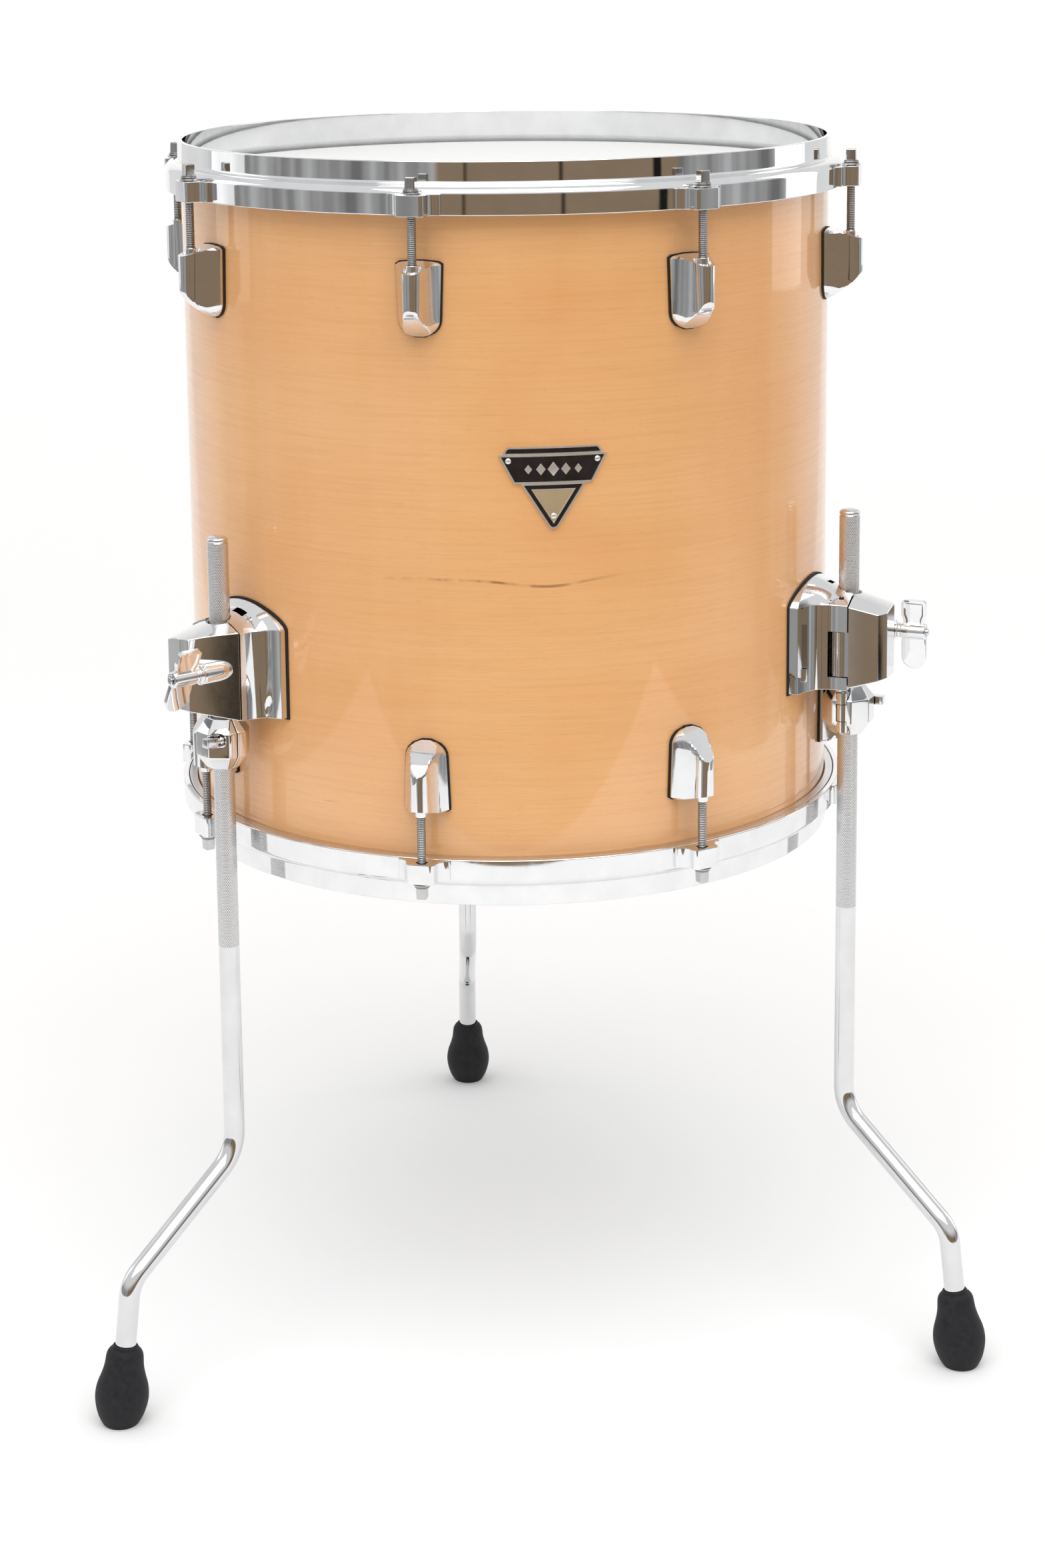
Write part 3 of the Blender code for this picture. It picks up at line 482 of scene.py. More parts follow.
def grained_finish(name, dark, light, scale, roughness, strength, distance, **constants):
    """A matt moulded or coated surface with fine grains."""
    tree, shader, place = finish(name, **constants)
    grains = place_group(tree, "pebbles", {"Vector": place, "Scale": scale})
    shade = mixed(tree, ranged(tree, grains["Mask"], 0.35, 0.65), rgba(dark), rgba(light))
    tree.links.new(shade, shader.inputs["Base Color"])
    tree.links.new(ranged(tree, grains["Mask"], 0.3, 0.7, *roughness), shader.inputs["Roughness"])
    bumped(tree, shader, grains["Height"], strength, distance)


def maple_finish(name, tones, lacquered):
    """Maple whose grain runs round the shell, lacquered outside and sealed inside."""
    constants = {"Coat Weight": 1.0, "Coat Roughness": 0.035, "Coat IOR": 1.5} if lacquered else {}
    tree, shader, place = finish(name, **constants)
    centred = stretched(tree, place, (1, 1, 1), (-AXIS.x, -AXIS.y, -MIDDLE))
    broad = noise(tree, stretched(tree, centred, (3.0, 3.0, 16.0)), 1.0, 4.0, 0.5, 0.6)
    figure = noise(tree, stretched(tree, centred, (9.0, 9.0, 5.0)), 1.0, 2.0, 0.5, 0.8)
    lines = noise(tree, stretched(tree, centred, (14.0, 14.0, 620.0)), 1.0, 4.0, 0.6, 0.15)
    pores = noise(tree, stretched(tree, centred, (120.0, 120.0, 2600.0)), 1.0, 2.0, 0.6)
    wide, curly = ranged(tree, broad, 0.3, 0.7), ranged(tree, figure, 0.3, 0.7)
    body = plus(tree, times(tree, wide, 0.55), times(tree, curly, 0.45))
    shade = mixed(tree, body, rgba(tones.maple_pale), rgba(tones.maple_deep))
    veins = times(tree, ranged(tree, lines, 0.45, 0.75), 0.22)
    shade = mixed(tree, veins, shade, rgba([c * 0.72 for c in tones.maple_deep]))
    specks = times(tree, ranged(tree, pores, 0.60, 0.72), 0.24)
    shade = mixed(tree, specks, shade, rgba([c * 0.55 for c in tones.maple_deep]))
    parts = add(tree, "ShaderNodeSeparateXYZ", {0: centred}).outputs
    wander = noise(tree, stretched(tree, centred, (9.0, 9.0, 2.0)), 1.0, 1.0)
    level = plus(tree, parts[2], times(tree, wander, 0.024))
    near = maths(tree, "ABSOLUTE", plus(tree, level, 0.0135))
    thin = ranged(tree, near, 0.0003, 0.0012, 1.0, 0.0)
    beside = maths(tree, "ABSOLUTE", plus(tree, parts[0], 0.006))
    reach = ranged(tree, beside, 0.030, 0.075, 1.0, 0.0)
    facing = ranged(tree, parts[1], -0.150, -0.130, 1.0, 0.0)
    broken = ranged(tree, noise(tree, stretched(tree, centred, (60.0, 60.0, 20.0)), 1.0), 0.40, 0.60)
    line, patches = times(tree, thin, reach), times(tree, facing, broken)
    streak = times(tree, line, patches)
    rare = noise(tree, stretched(tree, centred, (16.0, 16.0, 260.0), (3.1, 0, 1.7)), 1.0, 2.0, 0.5, 0.3)
    streaks = maths(tree, "MAXIMUM", streak, times(tree, ranged(tree, rare, 0.80, 0.86), 0.4))
    shade = mixed(tree, times(tree, streaks, 0.75), shade, rgba(tones.streak))
    tree.links.new(shade, shader.inputs["Base Color"])
    gloss = (0.30, 0.42) if lacquered else (0.5, 0.65)
    tree.links.new(ranged(tree, lines, 0.3, 0.7, *gloss), shader.inputs["Roughness"])
    bumped(tree, shader, plus(tree, lines, pores), 0.05 if lacquered else 0.3, 0.0002)


def thread_finish(name, tint, pitch):
    """Steel with the grooves of a thread below the head of a rod, with painted shade darkening the grooves."""
    tree, shader, place = finish(name, Metallic=1.0)
    parts = add(tree, "ShaderNodeSeparateXYZ", {0: place}).outputs
    grooves = place_group(tree, "grooves", {"Along": parts[2], "Pitch": pitch})["Height"]
    marks = place_group(tree, "handling marks", {"Vector": place, "Roughness": 0.24, "Smear": 0.12})
    # Painted shade: the colour falls to a third of the steel's tint in the thread's grooves.
    shade = mixed(tree, grooves, rgba([c * 0.30 for c in tint]), rgba(tint))
    tree.links.new(shade, shader.inputs["Base Color"])
    tree.links.new(marks["Roughness"], shader.inputs["Roughness"])
    bumped(tree, shader, grooves, 0.9, 0.0004)


def knurl_finish(name, tint):
    """Satin metal with a diamond knurl that follows the leg's own map, with painted shade darkening the
    knurl's grooves.
    """
    tree, shader, place = finish(name, Metallic=1.0)
    chart = add(tree, "ShaderNodeUVMap", uv_map="knurl").outputs[0]
    spot = add(tree, "ShaderNodeSeparateXYZ", {0: chart}).outputs
    left = maths(tree, "SINE", times(tree, plus(tree, spot[0], spot[1]), math.tau))
    right = maths(tree, "SINE", times(tree, maths(tree, "SUBTRACT", spot[0], spot[1]), math.tau))
    diamonds = ranged(tree, maths(tree, "MINIMUM", left, right), -0.9, 0.6)
    worn = place_group(tree, "handling marks", {"Vector": place, "Roughness": 0.24, "Smear": 0.15})
    # Painted shade: the colour darkens to three quarters of the tint in the grooves between the diamonds.
    shade = mixed(tree, diamonds, rgba([c * 0.74 for c in tint]), rgba(tint))
    tree.links.new(shade, shader.inputs["Base Color"])
    tree.links.new(worn["Roughness"], shader.inputs["Roughness"])
    bumped(tree, shader, diamonds, 0.4, 0.0003)


def build_finishes(scene):
    """Every finish of the drum."""
    tones, sizes = scene.drum_colours, scene.drum_sizes
    maple_finish("lacquered maple", tones, True)
    maple_finish("sealed maple", tones, False)
    metal_finish("chrome plate", tones.chrome, 0.035, 0.05)
    metal_finish("chrome leg", [c * 0.89 for c in tones.chrome], 0.07, 0.07)
    metal_finish("flesh hoop aluminium", (0.72, 0.72, 0.73), 0.28, 0.15, 0.1)
    metal_finish("badge border", (0.92, 0.91, 0.88), 0.36, 0.12)
    metal_finish("badge gold", tones.gold, 0.42, 0.12, 0.15)
    metal_finish("nickel steel", [c * 0.95 for c in tones.steel], 0.14, 0.10, 0.05)
    thread_finish("threaded steel", tones.steel, sizes.thread_pitch)
    knurl_finish("knurled steel", (0.88, 0.885, 0.90))
    rubber = tuple(tones.rubber)
    grained_finish("moulded rubber", rubber, [c * 1.9 for c in rubber], 700.0, (0.55, 0.72), 0.25, 0.0003,
                   Specular_IOR_Level=0.25)
    grained_finish("gasket rubber", [c * 0.6 for c in rubber], rubber, 900.0, (0.6, 0.8), 0.2, 0.0002)
    coating = tuple(tones.coating)
    grained_finish("coated film", [c * 0.95 for c in coating], coating, 1400.0, (0.42, 0.60), 0.35, 0.0002)
    enamel = tuple(tones.enamel)
    grained_finish("badge enamel", enamel, [c * 1.6 for c in enamel], 300.0, (0.16, 0.24), 0.04, 0.0002)
    grained_finish("clear film", (0.90, 0.91, 0.92), (0.95, 0.96, 0.97), 200.0, (0.06, 0.12), 0.05, 0.0002,
                   Transmission_Weight=0.85, IOR=1.45)


# The pieces


def shell_solid(sizes):
    """The shell with its bearing edges and the vent's hole."""
    inner = SHELL_RADIUS - sizes.shell_wall
    drop = EDGE_PEAK - inner
    profile = (
        (inner, BOTTOM_EDGE + drop), (EDGE_PEAK, BOTTOM_EDGE), (SHELL_RADIUS, BOTTOM_EDGE + 0.0022),
        (SHELL_RADIUS, TOP_EDGE - 0.0022), (EDGE_PEAK, TOP_EDGE), (inner, TOP_EDGE - drop),
    )
    bm = at(spun(profile, sizes.steps), Matrix.Translation(AXIS))
    hole = bar(0.0058, inner - 0.005, SHELL_RADIUS + 0.005, 32, "X")
    return cut(bm, at(hole, vent_place()))


def vent_place():
    """The air vent's frame."""
    low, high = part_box("air_vent")
    return on_shell(azimuth_of((low + high) / 2), 0, (low.z + high.z) / 2)


def head_profile(film):
    """The film's profile over a bearing edge at height 0."""
    under = [(EDGE_PEAK - 0.004, GAP), (EDGE_PEAK + 0.0004, GAP), (FILM_SIDE - 0.0008, -0.0006)]
    under += [(FILM_SIDE, -0.0022), (FILM_SIDE, -0.0054)]
    outward, upward = (0, 0.4, 0.8, 1, 1), (1, 0.95, 0.6, 0.2, 0)
    over = [(r + film * a, z + film * b) for (r, z), a, b in zip(under, outward, upward)]
    return [(0, GAP)] + under + over[::-1] + [(0, GAP + film)]


def hoop_profile(rise):
    """A cast hoop's profile over a bearing edge at height 0."""
    rim = SHELL_RADIUS + 0.0015
    base, band, shoulder, shelf = rim + 0.0012, 0.2130, 0.0035, 0.0090
    arch = [
        (base + (band - base) * math.cos(turn), shoulder + (shelf - shoulder) * math.sin(turn))
        for turn in [k * math.pi / 16 for k in range(9)]
    ]
    return [
        (rim, rise), (rim - 0.0032, rise), (rim - 0.0032, 0.0055), (0.2049, GAP), (0.2049, -0.0052),
        (0.2092, -0.0052), (0.2092, -0.0082), (band, -0.0082),
    ] + arch + [(rim + 0.0002, shelf + 0.0012)]


def ear_outline(width, top):
    """An ear seen from above: a round-cornered core with a flute and a ridge at each side."""
    half = width / 2
    nose, root, corner = 0.2248, 0.2112, 0.0030
    right = [(nose, half - corner)]
    for k in range(1, 6):
        angle = k * math.pi / 10
        turned = (corner * math.cos(angle), corner * math.sin(angle))
        right.append((nose - corner + turned[0], half - corner + turned[1]))
    deep, reach = 0.2149, 0.0058
    for k in range(1, 7):
        angle = k * math.pi / 12
        along = deep + (nose - corner - deep) * (1 - math.sin(angle))
        right.append((along, half + reach * (1 - math.cos(angle))))
    edge = half + reach + 0.0012
    right += [(deep, half + reach + 0.0004), (deep - 0.0006, edge), (root, edge)]
    return [(x, y, top) for x, y in right] + [(x, -y, top) for x, y in reversed(right)]


def ear_solid(width):
    """One ear, bored for its rod, with its middle on the X axis."""
    top, tall = EAR_TOP, 0.0124
    bm = bmesh.new()
    outline = [bm.verts.new(point) for point in ear_outline(width, top)]
    rim = [bm.edges.new(pair) for pair in zip(outline, outline[1:] + outline[:1])]
    middle = Matrix.Translation((ROD_CIRCLE, 0, top))
    hole = bmesh.ops.create_circle(bm, segments=24, radius=0.0033, matrix=middle)
    ring = list({edge for vert in hole["verts"] for edge in vert.link_edges})
    bmesh.ops.triangle_fill(bm, use_beauty=True, edges=rim + ring)
    grown = bmesh.ops.extrude_face_region(bm, geom=bm.faces[:])
    bmesh.ops.translate(bm, verts=picked(grown["geom"], BMVert), vec=(0, 0, -tall))
    bmesh.ops.recalc_face_normals(bm, faces=bm.faces)
    return softened(bm, 0.0006, 50, 2)


def rod_solid(radius):
    """A key rod with its flange and washer, down from the top of its ear at height 0."""
    flange = ((0.0046, GAP + 0.0011), (0.0046, 0.0024), (0.0038, 0.0032), (0, 0.0032))
    shank = spun(((0, -0.050), (radius * 0.7, -0.050), (radius, -0.0492), (radius, GAP), *flange), 32)
    loose = radius + GAP
    washer = softened(spun(((loose, GAP), (0.0057, GAP), (0.0057, 0.0012), (loose, 0.0012)), 40), 0.0003)
    head = cuboid((0, 0, 0.0062), (0.0062, 0.0062, 0.0074))
    top = [vert for vert in head.verts if vert.co.z > 0.0062]
    bmesh.ops.scale(head, verts=top, vec=(0.94, 0.94, 1))
    return shank, together(washer, softened(head, 0.0007, 28, 3))


def lug_width_at(drop, half, tall):
    """Half the width of a lug's plate at a drop below its top."""
    arch = min(1.0, math.sqrt(max(0.0, 1 - (1 - min(drop / 0.0022, 1)) ** 2)) * 0.75 + 0.25)
    taper = half - 0.0016 * drop / tall
    low = max(0.0, drop - (tall - 0.0105)) / 0.0105
    return taper * arch * math.sqrt(max(0.05, 1 - 0.95 * low ** 2.2))


def lug_section(drop, half, tall, nose):
    """One level of a lug: a plate, concave flanks and a round barrel, capped by the sloping underside."""
    wide = lug_width_at(drop, half, tall)
    barrel = min(0.0062 - 0.0014 * drop / tall, wide * 0.8)
    plate = 0.0017
    under = max(0.0, (drop - 0.0262) / (tall - 0.0262 + 0.0004))
    cap = max(plate * 0.55, nose * (1 - 0.52 * under - 0.48 * under * under))
    right = [(0, wide), (plate, wide)]
    bend = (plate + 0.42 * (nose - barrel - plate), barrel + 0.40 * (wide - barrel))
    for k in range(1, 8):
        t = k / 8
        x = (1 - t) ** 2 * plate + 2 * t * (1 - t) * bend[0] + t * t * (nose - barrel)
        y = (1 - t) ** 2 * wide + 2 * t * (1 - t) * bend[1] + t * t * barrel
        right.append((x, y))
    for k in range(9):
        angle = k * math.pi / 16
        right.append((nose - barrel + barrel * math.sin(angle), barrel * math.cos(angle)))
    right = [(min(x, cap), y) for x, y in right]
    ring = right + [(x, -y) for x, y in reversed(right[:-1])]
    return [(x, y, -drop) for x, y in ring]


def lug_solid(sizes):
    """A cast lug with its back at x = 0 and its top at height 0."""
    half, tall, nose = sizes.lug_width / 2, sizes.lug_height, 0.0222
    drops = [0.0, 0.0004, 0.001, 0.0022, 0.005] + [0.0105 + 0.0053 * k for k in range(3)]
    drops += [0.0262 + (tall - 0.0262) * k / 14 for k in range(15)]
    bm = lofted([lug_section(drop, half, tall, nose) for drop in drops])
    slope = Vector((0.0058, 0, 0.0215)).normalized()
    bmesh.ops.edgeloop_fill(bm, edges=halved(bm, (0.0026, 0, -0.0004), slope, clear_outer=True))
    bmesh.ops.recalc_face_normals(bm, faces=bm.faces)
    out = ROD_CIRCLE - LUG_BACK
    hollow = spun(((0, -0.0095), (0.0037, -0.0095), (0.0043, -0.0080), (0.0060, -0.0015), (0, -0.0015)), 36)
    bm = cut(bm, shifted(hollow, out), shifted(bar(0.0030, -0.03, 0.005, 24), out))
    inner, outer, low, high = 0.0029, 0.0036, -0.012, -0.0011
    rim = ((outer, high - 0.0005), (outer - 0.0003, high))
    return bm, shifted(spun(((inner, low), (outer, low), *rim, (inner, high)), 24), out)


def lug_gasket(sizes):
    """The rubber under a lug."""
    half, tall = sizes.lug_width / 2 + 0.0006, sizes.lug_height + 0.0012
    drops = [0.0, 0.0008, 0.0022] + [0.004 + (tall - 0.004) * k / 16 for k in range(17)]
    side = [(lug_width_at(drop, half, tall), drop) for drop in drops]
    side += [(-y, drop) for y, drop in reversed(side)]
    bm = slab([(-0.0001, y, 0.0006 - drop) for y, drop in side], (-0.003, 0, 0))
    return cut(bm, shifted(bar(SHELL_RADIUS + 0.0002, -0.06, 0.02, 256), -LUG_BACK))


def badge_outlines(half):
    """The badge's three fields, as (along, up) points from the middle of its top edge."""
    k = half / 0.0315
    bar_field = [(-0.0285 * k, -0.0047), (-0.0283 * k, -0.0031), (-0.0272 * k, -0.0010), (-0.0255 * k, 0)]
    bar_field += [(-x, y) for x, y in reversed(bar_field)]
    band_field = [(-half, -0.0047), (-0.0226 * k, -0.0214), (0.0226 * k, -0.0214), (half, -0.0047)]
    tip = [(0.0034 * math.cos(a), -0.0447 - 0.0034 * math.sin(a)) for a in
           [math.radians(32 + 116 * n / 8) for n in range(9)]]
    return bar_field, band_field, [(-0.0187 * k, -0.0214)] + tip[::-1] + [(0.0187 * k, -0.0214)]


def badge_field(outline, borders):
    """One field of the badge, flat: a raised metal border with inlays inside it."""
    bm = slab([(0.0, y, z) for y, z in outline], (0.0013, 0, 0))
    front = max(bm.faces, key=lambda face: face.calc_center_median().x)
    for width, depth, slot in borders:
        bmesh.ops.inset_region(bm, faces=[front], thickness=width, depth=0.0, use_even_offset=True)
        bmesh.ops.inset_region(bm, faces=[front], thickness=0.00015, depth=depth, use_even_offset=True)
        front.material_index = slot
    return bm


def bent_round(bm, width):
    """Slices a flat mesh into narrow strips and bends it round the shell."""
    count = 20
    for k in range(1, count):
        halved(bm, (0, width * (k / count - 0.5), 0), (0, 1, 0))
    for vert in bm.verts:
        radius, angle = SHELL_RADIUS + 0.0004 + vert.co.x, vert.co.y / SHELL_RADIUS
        vert.co.x, vert.co.y = radius * math.cos(angle), radius * math.sin(angle)
    return bm


def ornament(y, z, size):
    """A small raised lozenge."""
    back, side = 0.0008, size * 0.8
    points = [(back, y - side, z), (back, y, z - size), (back, y + side, z), (back, y, z + size)]
    return softened(slab(points, (0.0006, 0, 0)), 0.0002, 40, 2)


# Brackets and locks, in a frame on the leg's axis whose heights start at the lower bearing edge


LEG_BORE = 0.00675
HINGE = (-0.0005, -0.0152)
STUD_SIDE, STUD_UP = 0.0150, 0.1122
FOOT, HEAD = 0.080, 0.140


def upright(x, left, right, bottom, corner, top, fullness=0.0, steps=20):
    """An upright outline with an arched top, at a distance from the leg. Fullness rounds its corners."""
    points = [(x, -left, bottom), (x, right, bottom)]
    for k in range(steps + 1):
        share = (1 - math.cos(math.pi * k / steps)) / 2
        arch = max(0.0, math.sin(math.pi * share))
        arch += (math.sqrt(arch) - arch) * fullness
        points.append((x, right - (left + right) * share, corner + (top - corner) * arch))
    return points


def flared(low, high, spread):
    """A cone that widens a leg's bore upwards."""
    return spun(((0, low), (LEG_BORE, low), (LEG_BORE + spread, high), (0, high)), 48)


def base_solid():
    """The inner half of a bracket: a block that flares out to a plate on the shell."""
    back = BRACKET_BACK - LEG_CIRCLE
    rings = [upright(back - 0.005, 0.0405, 0.0325, FOOT, 0.1330, 0.147, 0.8)]
    for k in range(10):
        far = 1 - k / 9
        x, share, lift = 0.0050 + (back - 0.0038) * far, far ** 5, far ** 2
        left, right = 0.0216 + 0.0189 * share, 0.0205 + 0.0120 * share
        rings.append(upright(x, left, right, FOOT, 0.1335 - 0.0005 * lift, HEAD + 0.007 * lift, 0.8 * lift))
    bm = softened(lofted(rings), 0.0011, 24, 3)
    return cut(bm, shifted(bar(BRACKET_BACK, FOOT - 0.01, 0.17, 256), -LEG_CIRCLE))


def jaw_solid():
    """The outer half of a bracket with the boss of its stud."""
    plan = (
        (0.0002, -0.0216), (0.0235, -0.0186), (0.0282, -0.0138),
        (0.0290, 0.0000), (0.0272, 0.0056), (0.0002, 0.0200),
    )
    body = slab([(x, y, FOOT - 0.01) for x, y in plan], (0, 0, 0.08))
    near = upright(0.0, 0.0222, 0.0212, FOOT, 0.1335, HEAD)
    far = upright(0.0300, 0.0222, 0.0212, FOOT + 0.0085, 0.1335 - 0.0085, HEAD - 0.0085)
    bm = softened(combined(body, lofted([near, far]), "INTERSECT"), 0.0011, 20, 3)
    boss = spun(smooth_line(((0, 0.0015), (0.0034, 0.0040), (0.0054, 0.0080), (0.0060, 0.0125)), 4)
                + [(0.0060, 0.0236), (0.0052, 0.0246), (0, 0.0246)], 36, "X")
    return joined(bm, shifted(boss, 0, STUD_SIDE, STUD_UP))


def hinged(inner, outer, pin, knuckle, pin_radius, levels):
    """Cuts a knuckle hinge into two halves. The outer half gets the middle knuckle."""
    bottom, low, high, top = levels
    relief = knuckle + 0.0004

    def at_pin(bm):
        return shifted(bm, pin[0], pin[1])

    inner = joined(inner, at_pin(bar(knuckle, bottom, top)))
    inner = cut(inner, at_pin(bar(relief, low - 0.0004, high + 0.0004)))
    outer = cut(outer, at_pin(bar(relief, bottom - 0.005, low)), at_pin(bar(relief, high, top + 0.015)))
    outer = joined(outer, at_pin(bar(knuckle, low, high)))
    outer = cut(outer, at_pin(bar(pin_radius + 0.0004, low - 0.005, high + 0.005, 20)))
    pin_bar = softened(bar(pin_radius, bottom - 0.0003, top + 0.0006, 20), 0.0003)
    inner = cut(inner, at_pin(bar(pin_radius + 0.0001, bottom - 0.005, top + 0.02, 20)))
    return inner, outer, at_pin(pin_bar)


def bracket_solids():
    """The halves of a bracket and the pin of its hinge."""
    low, high, side = 0.0885, 0.1165, -0.0084
    base = cut(
        base_solid(),
        block((-0.0002, side, FOOT - 0.01), (0.02, 0.05, 0.17)),
        block((HINGE[0] - 0.0066, -0.05, low - 0.0004), (0.02, side + 0.0004, high + 0.0004)),
        shifted(bar(0.0016, FOOT - 0.01, 0.17, 20), *HINGE),
    )
    jaw = cut(jaw_solid(), block((-0.02, -0.05, FOOT - 0.01), (0.0056, side + 0.0004, 0.17)))
    knuckle = shifted(bar(0.0060, low, high, 40), *HINGE)
    jaw = joined(jaw, block((0.0, -0.0200, low), (0.0080, side - 0.0004, high)), knuckle)
    jaw = cut(jaw, shifted(bar(0.0019, low - 0.005, high + 0.005, 20), *HINGE))
    pin = shifted(softened(bar(0.0015, FOOT + 0.0007, 0.1345, 20), 0.0003), *HINGE)
    bore = (LEG_BORE, FOOT - 0.005, 0.17, 48)
    slot = block((-0.0143, -0.0018, 0.137), (-0.0101, 0.0087, 0.153))
    stud = shifted(bar(0.0042, -0.0104, 0.005, 24, "X"), 0, STUD_SIDE, STUD_UP)
    relief = bmesh.new()
    tilted = Matrix.Translation((-0.0148, 0.0275, 0.0905)) @ Matrix.Rotation(math.radians(-14), 4, "X")
    drawn = Matrix.Diagonal((0.0030, 0.0035, 0.0105, 1))
    bmesh.ops.create_icosphere(relief, subdivisions=4, radius=1.0, matrix=tilted @ drawn)
    base = cut(base, bar(*bore), slot, stud, relief)
    cone = flared(HEAD - 0.0055, HEAD + 0.002, 0.0035)
    jaw = cut(jaw, bar(*bore), cone, shifted(bar(0.0034, -0.005, 0.034, 24, "X"), 0, STUD_SIDE, STUD_UP))
    return softened(base, 0.0005, 30, 2), softened(jaw, 0.0004, 40, 2), pin


def bracket_gasket():
    """The rubber between a bracket and the shell."""
    back = BRACKET_BACK - LEG_CIRCLE
    sheet = slab(upright(back - 0.006, 0.0415, 0.0335, FOOT - 0.001, 0.1335, 0.1481, 0.8), (0.008, 0, 0))
    inner, outer, low, high = SHELL_RADIUS + 0.0002, SHELL_RADIUS + 0.0012, 0.07, 0.17
    ring = spun(((inner, low), (outer, low), (outer, high), (inner, high)), 256)
    return combined(sheet, shifted(ring, -LEG_CIRCLE), "INTERSECT")


def lock_solids():
    """The halves of a memory lock, its hinge pin and its key screw."""
    bottom, top = 0.0485, 0.0795
    wide = 0.0165
    profile = (
        (0, bottom), (0.0102, bottom), (wide, bottom + 0.0082), (wide, top - 0.0080), (0.0100, top), (0, top),
    )
    halves = []
    for side in (-1, 1):
        full = at(spun(profile, 8), Matrix.Rotation(math.pi / 8, 4, "Z"))
        half = block((0.0002, -0.03, 0.03), (0.04, 0.03, 0.10))
        half = at(half, Matrix.Rotation(0 if side > 0 else math.pi, 4, "Z"))
        halves.append(softened(combined(full, half, "INTERSECT"), 0.0006, 25, 2))
    pin = (0.0, -0.0118)
    levels = (bottom + 0.003, bottom + 0.0103, top - 0.0103, top - 0.003)
    body, jaw, pin_bar = hinged(*halves, pin, 0.0044, 0.0011, levels)
    bore = (LEG_BORE, bottom - 0.005, top + 0.005, 48)
    cone = flared(top - 0.003, top + 0.001, 0.002)
    side, up = 0.0098, 0.0678
    recess = shifted(bar(0.0048, 0.0075, 0.025, 32, "X"), 0, side, up)
    body = softened(cut(body, bar(*bore)), 0.0003, 45, 2)
    jaw = softened(cut(jaw, bar(*bore), cone, recess), 0.0003, 45, 2)
    flange = ((0.0030, 0.0078), (0.0030, 0.0092), (0.0024, 0.0097), (0.0024, 0.0120))
    screw = spun(((0, 0.0078), *flange, (0, 0.0120)), 24, "X")
    head = cuboid((0.0160, 0, 0), (0.0085, 0.0056, 0.0056))
    screw = shifted(together(softened(screw, 0.0003), softened(head, 0.0006, 28, 2)), 0, side, up)
    return body, jaw, pin_bar, screw


def wing_solid():
    """A wing nut with its stud along +X: a round hub, a short dimpled wing and a long rounded one."""
    near, far = 0.0300, 0.0455
    middle, half = (near + far) / 2, (far - near) / 2
    upper = ((0.0016, 0.0030), (0.0012, 0.0075), (0, 0.0105), (0, 0.0184), (0.0016, 0.0200))
    outline = [(near + x, z) for x, z in upper] + [(far - x, z) for x, z in reversed(upper)]
    short = slab([(x, -0.0016, z) for x, z in outline], (0, 0.0032, 0))
    for side in (-1, 1):
        face = max(short.faces, key=lambda f: side * f.calc_center_median().y)
        bmesh.ops.inset_region(short, faces=[face], thickness=0.0017, depth=0.0, use_even_offset=True)
        bmesh.ops.inset_region(short, faces=[face], thickness=0.0009, depth=-0.0008, use_even_offset=True)
    short = softened(short, 0.0005, 28, 2)
    lower = [(near + 0.0004, -0.0030), (near, -0.0085)]
    for k in range(15):
        angle = k * math.pi / 14
        lower.append((middle - half * math.cos(angle), -0.0162 - half * math.sin(angle)))
    lower += [(far, -0.0085), (far - 0.0004, -0.0030)]
    long = softened(slab([(x, -0.0019, z) for x, z in lower], (0, 0.0038, 0)), 0.0007, 28, 3)
    collar = ((0.0023, 0.0276), (0.0048, 0.0276), (0.0048, 0.0288), (0.0044, 0.0292), (0.0044, 0.0300))
    cap = ((0.0050, 0.0447), (0.0045, 0.0454), (0.0034, 0.0456), (0.0031, 0.0444), (0.0023, 0.0444))
    hub = spun((*collar, (0.0050, 0.0304), *cap), 40, "X")
    ring = ((0.0060, 0.0250), (0.0062, 0.0256), (0.0062, 0.0262), (0.0046, 0.0268), (0.0046, 0.0275))
    neck = spun(((0.0031, 0.0250), *ring, (0.0031, 0.0275)), 40, "X")
    root = ((0, -0.0100), (0.0026, -0.0100), (0.0030, -0.0094), (0.0030, 0.0276))
    stud = spun((*root, (0.0022, 0.0277), (0.0022, 0.0466), (0.0018, 0.0470), (0, 0.0470)), 28, "X")
    return together(joined(softened(hub, 0.0002, 40), long, short), softened(neck, 0.0002, 40)), stud


def leg_path(corners, radii, steps=14):
    """A path through corners, each inner one rounded."""
    path = [corners[0]]
    for before, corner, after, radius in zip(corners, corners[1:], corners[2:], radii):
        back, ahead = (before - corner).normalized(), (after - corner).normalized()
        half = back.angle(ahead) / 2
        centre = corner + (back + ahead).normalized() * radius / math.sin(half)
        reach = radius / math.tan(half)
        first = (corner + back * reach - centre).normalized()
        last = (corner + ahead * reach - centre).normalized()
        path += [centre + first.slerp(last, k / steps) * radius for k in range(steps + 1)]
    return path + [corners[-1]]


KNEE, REACH = Vector((0.0865, 0, 0.086)), 0.0985
SHIN = Vector((KNEE.x - REACH, 0, KNEE.z)).normalized()


